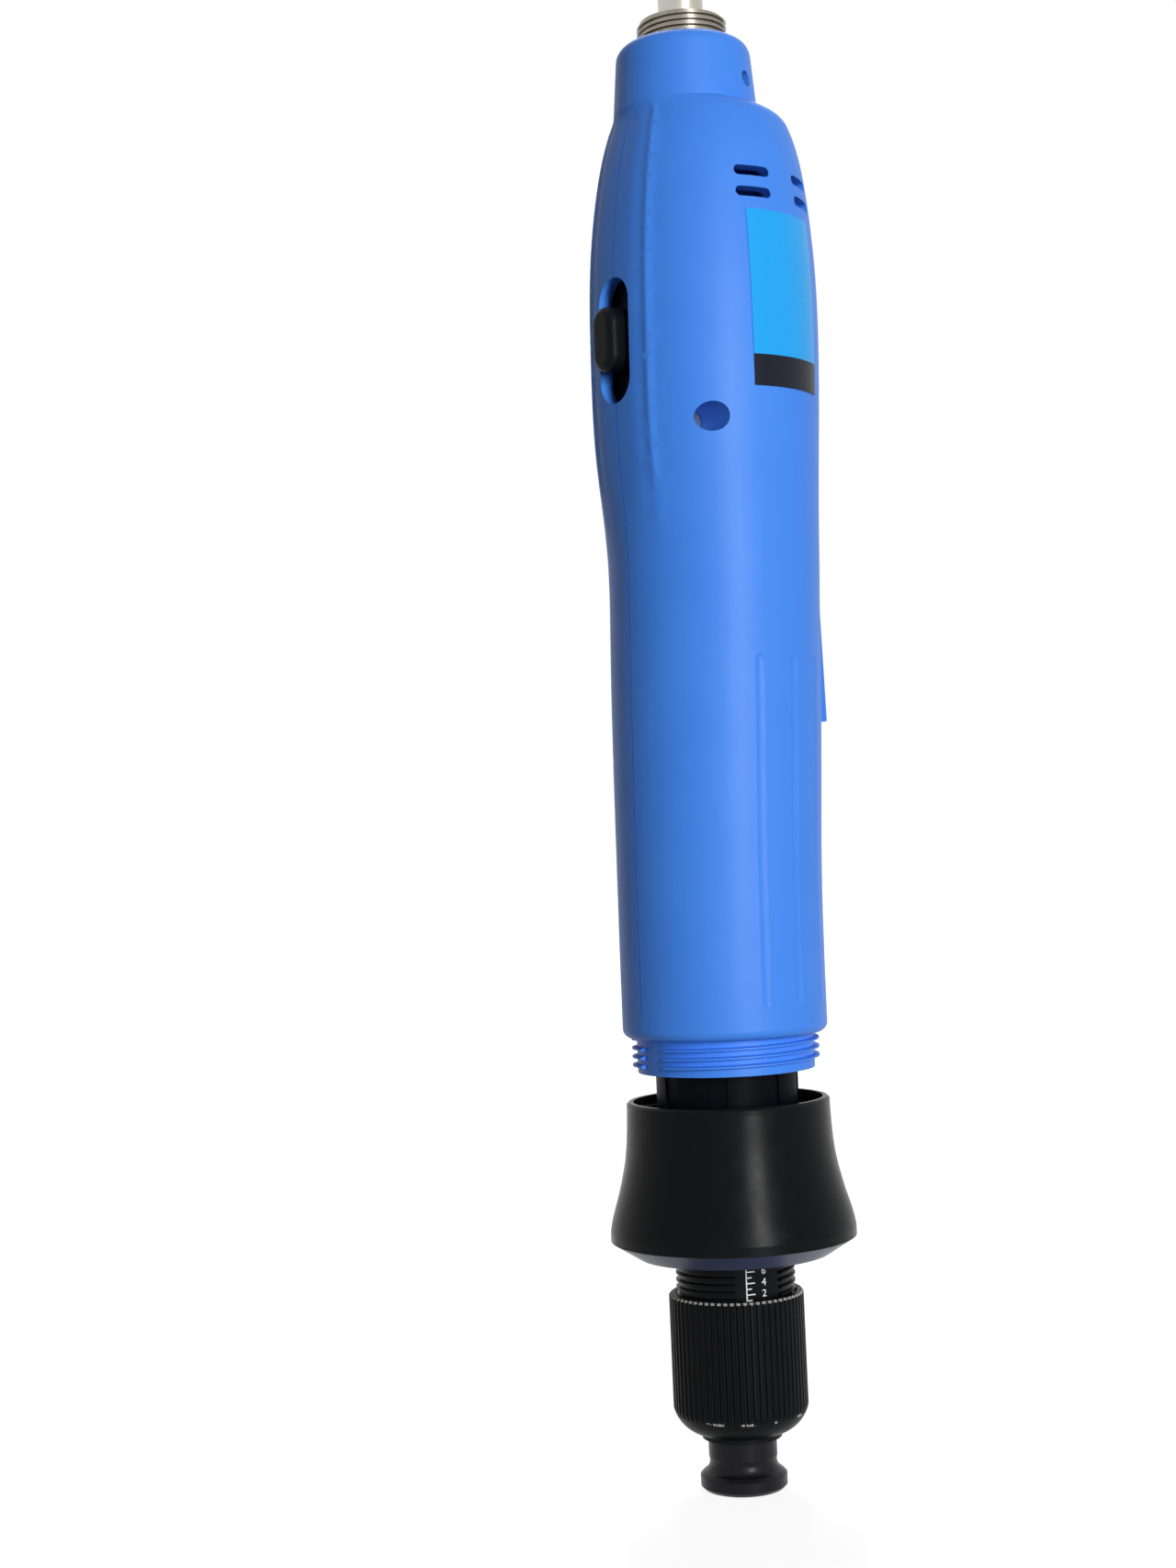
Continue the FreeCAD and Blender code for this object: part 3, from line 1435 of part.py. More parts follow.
def inlet_collar():
    """Threaded metal collar that holds the supply plug, clamped in the neck by its flange."""
    root = inlet_thread_radius - inlet_thread_depth
    tail = neck_top - inlet_tail_drop
    flange_foot = neck_top - inlet_flange_drop
    thread_foot = neck_top - inlet_pitch
    turns = (inlet_show + inlet_pitch) / inlet_pitch - root_width_share
    body = fused(rod(inlet_thread_radius, tail, thread_foot - inlet_pitch), rod(root, tail, inlet_top),
                 rod(inlet_flange_radius, flange_foot, flange_foot + inlet_flange_height))
    ridge = thread_ridge(root, inlet_thread_radius, inlet_pitch, thread_foot, turns)
    body = fused(body, ridge.common(rod(inlet_thread_radius + overrun, tail, inlet_top)))
    return body.cut([rod(inlet_cup_radius, inlet_top - inlet_cup_depth, inlet_top + overrun),
                     rod(barrel_radius + barrel_step + seat_gap, tail - overrun, inlet_top)])


def inlet_barrel():
    """Metal tube around the contacts that stands out of the collar."""
    tail = neck_top - inlet_tail_drop
    body = fused(rod(barrel_radius + barrel_step, tail, inlet_top), rod(barrel_radius, tail, barrel_top))
    return body.cut(rod(barrel_radius - barrel_wall, tail - overrun, barrel_top + overrun))


def inlet_insulator():
    """Moulded core of the barrel that holds the contact pins."""
    tail = neck_top - inlet_tail_drop
    top = barrel_top - insulator_recess
    core = rod(barrel_radius - barrel_wall - seat_gap, tail, top)
    hole = Part.makeCylinder(contact_pin_radius + seat_gap, top - tail + 2 * overrun,
                             Vector(contact_pin_circle, 0, tail - overrun))
    return core.cut(spun(hole, contact_pin_count))


def contact_pins():
    """Contact pins of the inlet."""
    tail = neck_top - inlet_tail_drop - contact_pin_proud
    top = barrel_top - insulator_recess + contact_pin_proud
    pin = Part.makeCylinder(contact_pin_radius, top - tail, Vector(contact_pin_circle, 0, tail))
    return group(spun(pin, contact_pin_count))


def inlet_leads():
    """Leads from the contact pins down to the board."""
    top = neck_top - inlet_tail_drop - contact_pin_proud - seat_gap
    board_top = body_foot + board_foot + board_length
    foot = board_top - inlet_lead_lap
    lap_x = board_front + lead_radius + seat_gap
    leads = []
    for index in range(inlet_lead_count):
        start = polar(contact_pin_circle, 360.0 * index / contact_pin_count, top)
        end_y = inlet_lead_spread * (index - (inlet_lead_count - 1) / 2)
        upper = Vector(start.x, start.y, top - (top - board_top) * inlet_lead_fall_shares[0])
        lower = Vector(lap_x, end_y, top - (top - board_top) * inlet_lead_fall_shares[1])
        leads.append(bent_tube([start, upper, lower, Vector(lap_x, end_y, foot)], lead_radius))
    return group(leads)


def all_pieces():
    """Every node's name and shape."""
    half = half_housing()
    pieces = {
        "front_shell": front_shell(half),
        "rear_shell": rear_shell(half),
        "housing_screw": housing_screw(),
        "neck_set_screw": neck_set_screw(),
        "blank_sticker": blank_sticker(),
        "inlet_collar": inlet_collar(),
        "inlet_barrel": inlet_barrel(),
        "inlet_insulator": inlet_insulator(),
        "contact_pins": contact_pins(),
        "inlet_leads": inlet_leads(),
        "direction_knob": direction_knob(),
        "switch_shutter": switch_shutter(),
        "direction_switch": direction_switch(),
        "start_lever": start_lever(),
        "lever_pin": lever_pin(),
        "start_switch": start_switch(),
        "start_button": start_button(),
        "control_board": control_board(),
        "brake_relay": brake_relay(),
        "smoothing_capacitor": smoothing_capacitor(),
        "motor_can": motor_can(),
        "motor_front_bush": motor_bush(case_top),
        "motor_rear_bush": motor_bush(rear_bush_foot()),
        "motor_end_cap": motor_end_cap(),
        "motor_magnets": motor_magnets(),
        "motor_brushes": brushes(),
        "brush_springs": brush_springs(),
        "motor_leads": motor_leads(),
        "rotor_shaft": rotor_shaft(),
        "rotor_core": rotor_core(),
        "rotor_winding": rotor_winding(),
        "commutator": commutator(),
        "sun_pinion": sun_pinion(),
        "first_carrier": first_carrier(),
        "first_planet_pins": carrier_pins(first_carrier_foot, first_carrier_height),
        "second_sun": second_sun(),
        "second_planet_pins": carrier_pins(second_carrier_foot, second_carrier_height),
        "ring_gear": ring_gear(),
        "gear_case": gear_case(),
        "spindle_bush": spindle_bush(),
        "clutch_pins": clutch_pins(),
        "clutch_plate": clutch_plate(),
        "torque_spring": torque_spring(),
        "spring_seat": spring_seat(),
        "torque_nut": torque_nut(),
        "scale_tube": scale_tube(),
        "nose_cap": nose_cap(),
        "cap_washer": cap_washer(),
        "output_spindle": output_spindle(),
        "lock_balls": lock_balls(),
        "sleeve_ring": sleeve_ring(),
        "sleeve_spring": sleeve_spring(),
        "release_sleeve": release_sleeve(),
    }
    for stage, foot in (("first", first_planet_foot), ("second", second_planet_foot)):
        for number, gear in enumerate(planets(foot), 1):
            pieces[f"{stage}_planet_{number}"] = gear
    return pieces


os.makedirs("parts", exist_ok=True)
for name, shape in all_pieces().items():
    shape.exportStep(os.path.join("parts", name + ".step"))
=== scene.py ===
"""Looks of a straight corded electric screwdriver, dressed over its CAD frame.

Metres, in the CAD's frame: +Z up the tool's axis from the bit to the tail, direction switch on -X.
"""
import math

import bmesh
import bpy
from mathutils import Matrix, Quaternion, Vector


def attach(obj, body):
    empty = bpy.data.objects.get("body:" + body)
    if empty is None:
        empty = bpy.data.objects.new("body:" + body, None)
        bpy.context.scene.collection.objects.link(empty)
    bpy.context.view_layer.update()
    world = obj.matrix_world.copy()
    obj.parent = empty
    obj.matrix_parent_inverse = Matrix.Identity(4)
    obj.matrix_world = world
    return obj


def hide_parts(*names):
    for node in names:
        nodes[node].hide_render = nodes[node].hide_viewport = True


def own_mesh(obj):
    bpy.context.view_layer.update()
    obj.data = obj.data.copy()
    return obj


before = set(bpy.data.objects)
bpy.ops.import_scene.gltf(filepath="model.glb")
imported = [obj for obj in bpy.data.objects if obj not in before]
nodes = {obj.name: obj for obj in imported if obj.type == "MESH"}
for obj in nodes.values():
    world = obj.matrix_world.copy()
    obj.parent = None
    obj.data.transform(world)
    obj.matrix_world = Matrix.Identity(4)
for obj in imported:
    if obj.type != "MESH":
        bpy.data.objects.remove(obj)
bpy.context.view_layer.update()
MM = 0.001

# Camera: picture height and focal length in pixels, then where it stands round the tool
picture_height = 1706
focal_pixels = 2455.0
camera_azimuth = math.radians(-37.8)
camera_distance = 400 * MM
camera_height = 112.6 * MM
aim_height = 124.3 * MM
aim_left = 22.35 * MM
camera_roll = math.radians(-2.4)
sensor_height = 24.0
near_clip = 10 * MM

# Studio: floor just under the nose, surround level for light rays, and two tall soft boxes, one right of
# the camera and one high behind the tool for its back
floor_size = 4.0
floor_drop = 0.2 * MM
floor_colour = "#5A5A5A"
floor_roughness = 0.9
floor_lift = 0.89
shadow_reach = (40 * MM, 160 * MM)
white = "#FFFFFF"
surround_light = 0.1
front_box = {"side": math.radians(27), "rise": math.radians(8), "power": 7.3}
back_box = {"side": math.radians(180), "rise": math.radians(50), "power": 8.0}
box_distance = 0.9
box_width = 0.16
box_height = 0.5

# Torque scale on the tube's flat
flat_angle = math.radians(-104.0)
flat_reach = 9.6 * MM
print_thickness = 0.05 * MM
scale_unit = 0.97 * MM
scale_zero = 33.2 * MM
scale_last = 16
baseline_offset = -2.25 * MM
digit_offset = 1.05 * MM
digit_height = 1.25 * MM
font_per_digit = 1.4
line_width = 0.2 * MM
short_tick = 1.0 * MM
long_tick = 1.6 * MM

# Springs of the slides, which shorten as the slides move; drawn as fixed coils at rest, each riding on one
# body
torque_coil = {"radius": 7.1 * MM, "wire": 0.7 * MM, "foot": 14.98 * MM, "top": 58.46 * MM, "turns": 9}
sleeve_coil = {"radius": 5.4 * MM, "wire": 0.3 * MM, "foot": 14.04 * MM, "top": 20.96 * MM, "turns": 5}
coil_steps = 24
wire_segments = 12
weld_distance = 0.001 * MM

# Gloss levels of the finishes, how far dust lightens the black ones, and where the dust pattern lets the
# painted glints on the nut's corner show
black_gloss = 0.07
oxide_gloss = 0.16
case_gloss = 0.03
nylon_gloss = 0.22
film_gloss = 0.2
plain_gloss = 0.5
dust_gain = 1.8
glint_patch_threshold = 0.55

# Patterns of each process: their real sizes, the roughness they take off and add, and their relief.
# Mould grain and turning marks are about 0.1 mm, and are drawn coarser so that they show.
nylon_skin = {"cloud": 18 * MM, "grain": 0.35 * MM, "spread": (-0.06, 0.08), "relief": (0.18, 0.03 * MM)}
black_skin = {"dust": 2.5 * MM, "ring": 0.4 * MM, "spread": (-0.07, 0.1), "relief": (0.08, 0.02 * MM)}
plate_skin = {"line": 0.2 * MM, "spread": (0.1, -0.05), "relief": (0.05, 0.01 * MM)}
plastic_skin = {"spread": (-0.08, 0.08), "relief": (0.15, 0.03 * MM)}
film_skin = {"grain": 0.6 * MM, "spread": (-0.04, 0.06)}
# A wave texture runs through this angle for each unit of its scale
wave_angle = 20

# Bands of painted light on the black parts, a painted reflection on the cap's chamfer and painted highlights
# on the nut's top rim and lower corner: lowest and highest point, inner and outer radius, and if broken into
# dashes by the dust pattern
cap_chamfer_reflection = (40 * MM, 43.65 * MM, 0, 30 * MM, False)
nut_rim_highlight = (33.8 * MM, 34.3 * MM, 11.52 * MM, 12 * MM, False)
nut_corner_glints = (13.2 * MM, 13.6 * MM, 11.4 * MM, 11.75 * MM, True)
film_band_top = 195.8 * MM


def linear(hex_colour):
    """Linear RGBA from an sRGB hex colour."""
    parts = [int(hex_colour[i:i + 2], 16) / 255 for i in (1, 3, 5)]
    return [c / 12.92 if c <= 0.04045 else ((c + 0.055) / 1.055) ** 2.4 for c in parts] + [1.0]


def add(tree, kind, inputs=None, **settings):
    """Add a node with its settings, values and links."""
    node = tree.nodes.new(kind)
    for name, value in settings.items():
        setattr(node, name, value)
    for key, value in (inputs or {}).items():
        if isinstance(value, bpy.types.NodeSocket):
            tree.links.new(value, node.inputs[key])
        else:
            node.inputs[key].default_value = value
    return node


def start_material(name, **sockets):
    """New material: its tree, its Principled shader with plain sockets set, and Object coordinates."""
    material = bpy.data.materials.new(name)
    material.use_nodes = True
    tree = material.node_tree
    tree.nodes.clear()
    shader = add(tree, "ShaderNodeBsdfPrincipled", sockets)
    add(tree, "ShaderNodeOutputMaterial", {"Surface": shader.outputs["BSDF"]})
    place = add(tree, "ShaderNodeTexCoord").outputs["Object"]
    return material, tree, shader, place


def mottled(tree, place, size, detail, dark, light):
    """Noise of a real size, and the blend of two linear colours that it gives."""
    noise = add(tree, "ShaderNodeTexNoise", {"Vector": place, "Scale": 1 / size, "Detail": detail})
    blend = add(tree, "ShaderNodeMix", {"Factor": noise.outputs["Fac"], 6: dark, 7: light}, data_type="RGBA")
    return noise.outputs["Fac"], blend.outputs[2]


def wire_surface(tree, shader, colour, gloss_pattern, roughness, skin, relief_pattern=None):
    """Give the shader its colour, a roughness that follows one pattern and a relief that follows another."""
    low, high = skin["spread"]
    gloss = add(tree, "ShaderNodeMapRange", {"Value": gloss_pattern, "To Min": roughness + low,
                                             "To Max": roughness + high})
    tree.links.new(colour, shader.inputs["Base Color"])
    tree.links.new(gloss.outputs["Result"], shader.inputs["Roughness"])
    if relief_pattern is not None:
        strength, depth = skin["relief"]
        bump = add(tree, "ShaderNodeBump", {"Height": relief_pattern, "Strength": strength,
                                            "Distance": depth})
        tree.links.new(bump.outputs["Normal"], shader.inputs["Normal"])


def moulded_nylon(name, light, dark, roughness):
    """Spark-textured glass-filled nylon: satin, with a fine even grain and a faint cloudiness."""
    material, tree, shader, place = start_material(name, IOR=1.53, **{"Specular IOR Level": nylon_gloss})
    # Clouds of slightly deeper colour, as in pigmented mouldings
    colour = mottled(tree, place, nylon_skin["cloud"], 3.0, linear(dark), linear(light))[1]
    grain = add(tree, "ShaderNodeTexNoise", {"Vector": place, "Scale": 1 / nylon_skin["grain"],
                                             "Detail": 2.0}).outputs["Fac"]
    wire_surface(tree, shader, colour, grain, roughness, nylon_skin, grain)
    return material


def band_mask(tree, height, radius, band, glint_patches):
    """1 inside a band of painted light, between its heights and radii and where the pattern passes the
    threshold, and 0 outside it.
    """
    low, high, inner, outer = band
    limits = ((height, low, "GREATER_THAN"), (height, high, "LESS_THAN"), (radius, inner, "GREATER_THAN"),
              (radius, outer, "LESS_THAN"), (glint_patches, glint_patch_threshold, "GREATER_THAN"))
    mask = 1.0
    for socket, limit, operation in limits:
        side = add(tree, "ShaderNodeMath", {0: socket, 1: limit}, operation=operation).outputs[0]
        mask = add(tree, "ShaderNodeMath", {0: mask, 1: side}, operation="MULTIPLY").outputs[0]
    return mask


def anodised_aluminium(name, base, roughness, painted_edge_light=None, bands=(), gloss_level=black_gloss):
    """Dyed black anodising over turned rings: deep satin black, with bands of painted highlight and painted
    reflection at its edges.
    """
    # The dyed pores soak up most of the surface gloss
    material, tree, shader, place = start_material(name, IOR=1.5, **{"Specular IOR Level": gloss_level})
    split = add(tree, "ShaderNodeSeparateXYZ", {"Vector": place})
    flat_place = add(tree, "ShaderNodeCombineXYZ", {"X": split.outputs["X"], "Y": split.outputs["Y"]})
    radius = add(tree, "ShaderNodeVectorMath", {0: flat_place.outputs["Vector"]}, operation="LENGTH")
    # Patches of handling dust, which dull the gloss
    deep = linear(base)
    pale = [channel * dust_gain for channel in deep[:3]] + [1.0]
    dust, colour = mottled(tree, place, black_skin["dust"], 5.0, deep, pale)
    # Bands of painted light laid over the black in their own colour, patchy ones broken into dashes by the
    # dust pattern
    for *band, patchy in bands:
        mask = band_mask(tree, split.outputs["Z"], radius.outputs["Value"], band, dust if patchy else 1.0)
        colour = add(tree, "ShaderNodeMix", {"Factor": mask, 6: colour, 7: linear(painted_edge_light)},
                     data_type="RGBA").outputs[2]
    # Turning marks
    repeat = math.tau / (wave_angle * black_skin["ring"])
    rings = add(tree, "ShaderNodeTexWave", {"Vector": place, "Scale": repeat, "Distortion": 0.6,
                                            "Detail": 1.0}, bands_direction="Z")
    wire_surface(tree, shader, colour, dust, roughness, black_skin, rings.outputs["Fac"])
    return material


def plated_metal(name, bright, dull, roughness, mottle):
    """Plated or ground metal: bright, with faint duller patches and fine drawing lines round the axis."""
    material, tree, shader, place = start_material(name, Metallic=1.0)
    patches, colour = mottled(tree, place, mottle, 4.0, linear(dull), linear(bright))
    repeat = math.tau / (wave_angle * plate_skin["line"])
    lines = add(tree, "ShaderNodeTexWave", {"Vector": place, "Scale": repeat, "Distortion": 0.4},
                bands_direction="Z")
    wire_surface(tree, shader, colour, patches, roughness, plate_skin, lines.outputs["Fac"])
    return material


def moulded_plastic(name, light, dark, roughness, grain_size, gloss_level=plain_gloss):
    """Plain moulded or pressed stock: fine grain in its colour, gloss and relief."""
    material, tree, shader, place = start_material(name, IOR=1.5, **{"Specular IOR Level": gloss_level})
    grain, colour = mottled(tree, place, grain_size, 4.0, linear(dark), linear(light))
    wire_surface(tree, shader, colour, grain, roughness, plastic_skin, grain)
    return material


def printed_film(name, light, dark, band, roughness):
    """Printed vinyl film: gloss, a plain field over a plain dark band, with a faint print grain."""
    material, tree, shader, place = start_material(name, IOR=1.48, **{"Specular IOR Level": film_gloss})
    split = add(tree, "ShaderNodeSeparateXYZ", {"Vector": place})
    lower = add(tree, "ShaderNodeMath", {0: split.outputs["Z"], 1: film_band_top}, operation="LESS_THAN")
    grain, field = mottled(tree, place, film_skin["grain"], 3.0, linear(dark), linear(light))
    both = add(tree, "ShaderNodeMix", {"Factor": lower.outputs[0], 6: field, 7: linear(band)},
               data_type="RGBA")
    wire_surface(tree, shader, both.outputs[2], grain, roughness, film_skin)
    return material


# Every CAD node's finish

blue_nylon = moulded_nylon("moulded_nylon_blue", "#4A8FF4", "#3F84EB", 0.46)
lever_nylon = moulded_nylon("moulded_nylon_lever", "#458AF0", "#3B7FE6", 0.44)
# Paler violet-grey band round the cap's lower chamfer: painted reflection, laid over the black as colour
black_cap = anodised_aluminium("anodised_cap_black", "#07080A", 0.28, "#4A5270", [cap_chamfer_reflection])
black_tube = anodised_aluminium("anodised_tube_black", "#08090B", 0.28)
# Bright bands round the nut's top rim and, in dashes, round its lower corner: painted highlights
black_nut = anodised_aluminium("anodised_nut_black", "#0A0B0D", 0.36, "#A9A8A2", [nut_rim_highlight, nut_corner_glints])
black_oxide = anodised_aluminium("black_oxide_steel", "#0B0B10", 0.32, gloss_level=oxide_gloss)
dark_case = anodised_aluminium("cast_case_dark", "#07080D", 0.42, gloss_level=case_gloss)
black_moulding = moulded_plastic("moulded_acetal_black", "#0D1015", "#07090D", 0.42, 0.4 * MM, black_gloss)
nickel = plated_metal("nickel_plate", "#A8A399", "#7A7469", 0.24, 3 * MM)
bright_plate = plated_metal("bright_barrel_plate", "#CAC7C0", "#AEAAA1", 0.3, 3 * MM)
gold_plate = plated_metal("gold_contact_plate", "#E2C275", "#C6A354", 0.25, 1 * MM)
zinc_plate = plated_metal("zinc_plated_steel", "#B4B6BA", "#9A9CA0", 0.34, 3 * MM)
ground_steel = plated_metal("ground_steel", "#A7A8AB", "#8E9094", 0.28, 2 * MM)
spring_steel = plated_metal("drawn_spring_steel", "#8F9195", "#74767A", 0.3, 1 * MM)
bronze = plated_metal("sintered_bronze", "#A07B4A", "#866438", 0.5, 0.6 * MM)
copper = plated_metal("enamelled_copper", "#B9683C", "#9C5230", 0.32, 1 * MM)
film = printed_film("printed_film_plain", "#25ABF8", "#1FA3F1", "#0B1222", 0.28)
lead_rubber = moulded_plastic("lead_sleeve_rubber", "#1C1D20", "#141518", 0.55, 0.5 * MM)
laminate = moulded_plastic("lacquered_laminate_green", "#1D6B3C", "#155A31", 0.35, 1.2 * MM)
can_sleeve = moulded_plastic("capacitor_sleeve", "#252C46", "#1D2338", 0.35, 1 * MM)
ferrite = moulded_plastic("fired_ferrite", "#33353A", "#27292D", 0.6, 0.5 * MM)
carbon = moulded_plastic("pressed_carbon", "#222326", "#17181A", 0.6, 0.3 * MM)
fibre = moulded_plastic("pressed_fibre_grey", "#3A3C40", "#2D2F33", 0.7, 0.5 * MM)
white_print = moulded_plastic("white_scale_paint", "#F2F3F4", "#E4E6E8", 0.5, 0.3 * MM)

finishes = {
    blue_nylon: ["front_shell", "rear_shell"],
    lever_nylon: ["start_lever"],
    black_cap: ["nose_cap"],
    black_tube: ["scale_tube"],
    black_nut: ["torque_nut"],
    black_oxide: ["release_sleeve", "neck_set_screw"],
    dark_case: ["gear_case"],
    black_moulding: ["direction_knob", "switch_shutter", "direction_switch", "start_switch", "start_button",
                     "motor_end_cap", "inlet_insulator", "brake_relay"],
    nickel: ["inlet_collar"],
    bright_plate: ["inlet_barrel"],
    gold_plate: ["contact_pins"],
    zinc_plate: ["housing_screw", "lever_pin", "motor_can"],
    ground_steel: ["rotor_shaft", "rotor_core", "sun_pinion", "first_carrier", "first_planet_pins",
                   "second_sun", "second_planet_pins", "ring_gear", "clutch_pins", "clutch_plate",
                   "spring_seat", "output_spindle", "lock_balls"]
                  + [f"{stage}_planet_{k}" for stage in ("first", "second") for k in (1, 2, 3)],
    spring_steel: ["brush_springs", "torque_spring", "sleeve_spring", "sleeve_ring"],
    bronze: ["motor_front_bush", "motor_rear_bush", "spindle_bush"],
    copper: ["rotor_winding", "commutator"],
    film: ["blank_sticker"],
    lead_rubber: ["inlet_leads", "motor_leads"],
    laminate: ["control_board"],
    can_sleeve: ["smoothing_capacitor"],
    ferrite: ["motor_magnets"],
    carbon: ["motor_brushes"],
    fibre: ["cap_washer"],
}
for material, names in finishes.items():
    for name in names:
        mesh = nodes[name].data
        mesh.materials.clear()
        mesh.materials.append(material)


def piece_from(bm, name, material, body):
    """Object from a finished bmesh, riding on a CAD body."""
    mesh = bpy.data.meshes.new(name)
    bm.to_mesh(mesh)
    bm.free()
    mesh.materials.append(material)
    piece = bpy.data.objects.new(name, mesh)
    bpy.context.scene.collection.objects.link(piece)
    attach(piece, body)
    return piece


def digit_mesh(text):
    """Mesh of a numeral, drawn flat with its own thickness."""
    curve = bpy.data.curves.new("numeral", "FONT")
    curve.body = text
    curve.size = digit_height * font_per_digit
    curve.extrude = print_thickness / 2
    curve.align_x = "CENTER"
    curve.align_y = "CENTER"
    holder = bpy.data.objects.new("numeral", curve)
    bpy.context.scene.collection.objects.link(holder)
    bpy.context.view_layer.update()
    mesh = bpy.data.meshes.new_from_object(holder.evaluated_get(bpy.context.evaluated_depsgraph_get()))
    bpy.data.objects.remove(holder)
    return mesh


def torque_scale():
    """White painted baseline, ticks and even numerals on the tube's flat."""
    outward = Vector((math.cos(flat_angle), math.sin(flat_angle), 0))
    right = Vector((-math.sin(flat_angle), math.cos(flat_angle), 0))
    on_flat = Matrix((right, Vector((0, 0, 1)), outward)).transposed().to_4x4()
    on_flat.translation = outward * flat_reach
    bm = bmesh.new()

    def bar(x, y, width, height):
        size = Matrix.Diagonal((width, height, print_thickness, 1))
        bmesh.ops.create_cube(bm, size=1, matrix=on_flat @ Matrix.Translation((x, y, 0)) @ size)

    scale_length = scale_unit * scale_last
    bar(baseline_offset, scale_zero + scale_length / 2, line_width, scale_length + line_width)
    for unit in range(scale_last + 1):
        height = scale_zero + unit * scale_unit
        tick = long_tick if unit % 2 == 0 else short_tick
        bar(baseline_offset + tick / 2, height, tick, line_width)
        if unit and unit % 2 == 0:
            numeral = digit_mesh(str(unit))
            numeral.transform(on_flat @ Matrix.Translation((digit_offset, height, 0)))
            bm.from_mesh(numeral)
            bpy.data.meshes.remove(numeral)
    return piece_from(bm, "torque_scale", white_print, "housing")


def spring_coil(name, coil, body, node):
    """Round-wire coil spun up a helix, at rest and riding on one body, in place of the CAD node of a spring
    that shortens with its slide.
    """
    steps = coil_steps * coil["turns"]
    rise = coil["top"] - coil["foot"] - 2 * coil["wire"]
    lean = math.atan2(rise / coil["turns"], math.tau * coil["radius"])
    stand = Matrix.Translation((coil["radius"], 0, coil["foot"] + coil["wire"]))
    bm = bmesh.new()
    bmesh.ops.create_circle(bm, cap_ends=True, segments=wire_segments, radius=coil["wire"],
                            matrix=stand @ Matrix.Rotation(math.pi / 2 + lean, 4, "X"))
    bmesh.ops.spin(bm, geom=bm.verts[:] + bm.edges[:] + bm.faces[:], cent=(0, 0, 0), axis=(0, 0, 1),
                   dvec=(0, 0, rise / steps), angle=math.tau * coil["turns"], steps=steps)
    bmesh.ops.remove_doubles(bm, verts=bm.verts, dist=weld_distance)
    bmesh.ops.recalc_face_normals(bm, faces=bm.faces)
    for face in bm.faces:
        face.smooth = True
    piece = piece_from(bm, name, spring_steel, body)
    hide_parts(node)
    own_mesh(piece)
    return piece


torque_scale()
spring_coil("torque_coil", torque_coil, "housing", "torque_spring")
spring_coil("sleeve_coil", sleeve_coil, "spindle", "sleeve_spring")


# Studio: floor, surround that is white to the camera, soft boxes and camera

def seen_ray(tree):
    """1 for rays that show a thing to the camera, straight on or by a reflection, and 0 for light."""
    path = add(tree, "ShaderNodeLightPath")
    mirrored = add(tree, "ShaderNodeMath", {0: path.outputs["Is Glossy Ray"],
                                            1: path.outputs["Is Transmission Ray"]}, operation="MAXIMUM")
    return add(tree, "ShaderNodeMath", {0: path.outputs["Is Camera Ray"], 1: mirrored.outputs[0]},
               operation="MAXIMUM").outputs[0]


def studio_floor():
    """Matt floor under the nose, white to the eye but for the tool's soft shadow near its foot."""
    bm = bmesh.new()
    bmesh.ops.create_grid(bm, x_segments=1, y_segments=1, size=floor_size,
                          matrix=Matrix.Translation((0, 0, -floor_drop)))
    mesh = bpy.data.meshes.new("studio_floor")
    bm.to_mesh(mesh)
    bm.free()
    floor = bpy.data.objects.new("studio_floor", mesh)
    bpy.context.scene.collection.objects.link(floor)
    material, tree, shader, place = start_material("matt_floor_paint", Roughness=floor_roughness)
    shader.inputs["Base Color"].default_value = linear(floor_colour)
    distance = add(tree, "ShaderNodeVectorMath", {0: place}, operation="LENGTH")
    away = add(tree, "ShaderNodeMapRange", {"Value": distance.outputs["Value"], "From Min": shadow_reach[0],
                                            "From Max": shadow_reach[1]}, interpolation_type="SMOOTHSTEP")
    lift = add(tree, "ShaderNodeMapRange", {"Value": away.outputs["Result"], "To Min": floor_lift,
                                            "To Max": 1.0})
    seen = add(tree, "ShaderNodeMath", {0: lift.outputs["Result"], 1: seen_ray(tree)}, operation="MULTIPLY")
    shader.inputs["Emission Color"].default_value = linear(white)
    tree.links.new(seen.outputs[0], shader.inputs["Emission Strength"])
    mesh.materials.append(material)


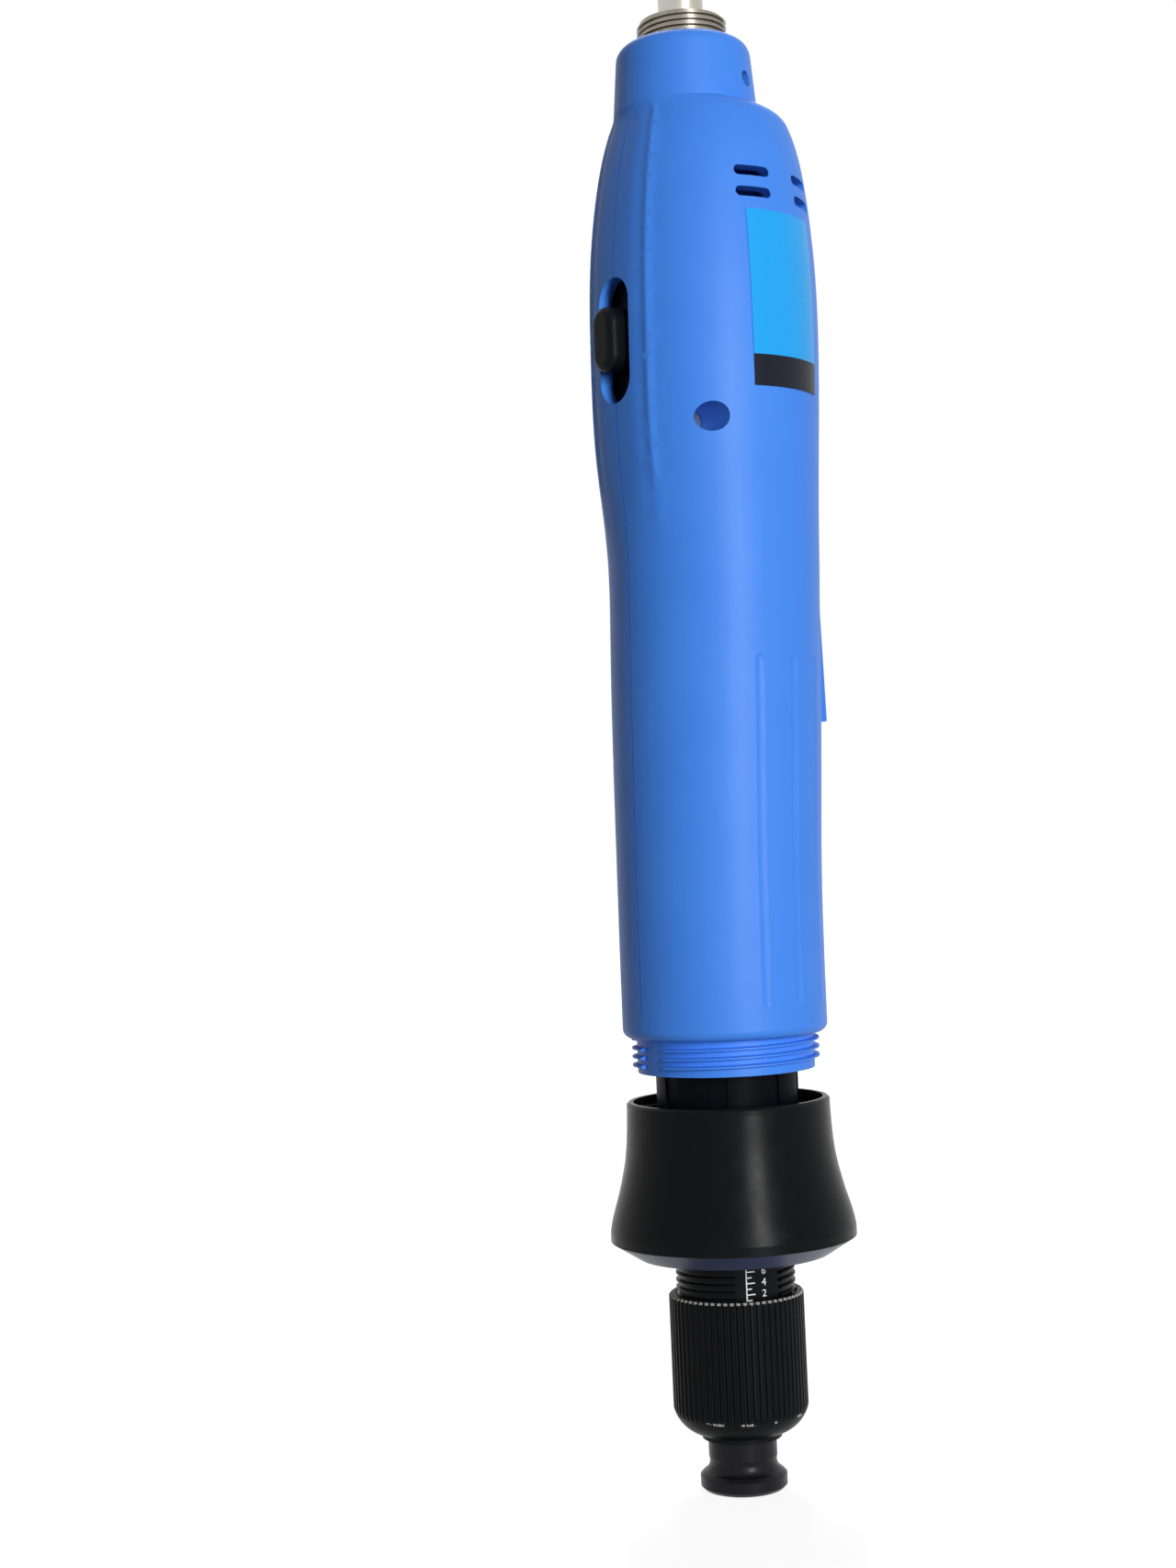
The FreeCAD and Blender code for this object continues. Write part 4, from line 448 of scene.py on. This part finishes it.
def studio_world():
    """Soft even surround, white where it is seen."""
    world = bpy.data.worlds.new("studio_world")
    bpy.context.scene.world = world
    world.use_nodes = True
    tree = world.node_tree
    tree.nodes.clear()
    strength = add(tree, "ShaderNodeMapRange", {"Value": seen_ray(tree), "To Min": surround_light,
                                                "To Max": 1.0})
    soft = add(tree, "ShaderNodeBackground", {"Color": linear(white), "Strength": strength.outputs["Result"]})
    add(tree, "ShaderNodeOutputWorld", {"Surface": soft.outputs["Background"]})


def soft_box(name, box):
    """Tall soft box aimed at the tool's middle."""
    lamp = bpy.data.lights.new(name, "AREA")
    lamp.shape = "RECTANGLE"
    lamp.size = box_width
    lamp.size_y = box_height
    lamp.energy = box["power"]
    holder = bpy.data.objects.new(name, lamp)
    bpy.context.scene.collection.objects.link(holder)
    azimuth = camera_azimuth + box["side"]
    flat = math.cos(box["rise"])
    away = Vector((math.sin(azimuth) * flat, -math.cos(azimuth) * flat, math.sin(box["rise"])))
    holder.location = Vector((0, 0, aim_height)) + away * box_distance
    holder.rotation_euler = (-away).to_track_quat("-Z", "Y").to_euler()


def tool_camera():
    """Camera at the picture's viewing angle, with the tool right of the middle and leaning left."""
    camera = bpy.data.cameras.new("tool_camera")
    camera.sensor_fit = "VERTICAL"
    camera.sensor_height = sensor_height
    camera.lens = sensor_height * focal_pixels / picture_height
    camera.clip_start = near_clip
    holder = bpy.data.objects.new("tool_camera", camera)
    bpy.context.scene.collection.objects.link(holder)
    towards = Vector((math.sin(camera_azimuth), -math.cos(camera_azimuth), 0))
    right = Vector((math.cos(camera_azimuth), math.sin(camera_azimuth), 0))
    holder.location = towards * camera_distance + Vector((0, 0, camera_height))
    aim = Vector((0, 0, aim_height)) - right * aim_left
    turn = (aim - holder.location).to_track_quat("-Z", "Y") @ Quaternion((0, 0, 1), camera_roll)
    holder.rotation_euler = turn.to_euler()
    bpy.context.scene.camera = holder


studio_floor()
studio_world()
soft_box("front_box", front_box)
soft_box("back_box", back_box)
tool_camera()
bpy.context.scene.view_settings.view_transform = "Standard"
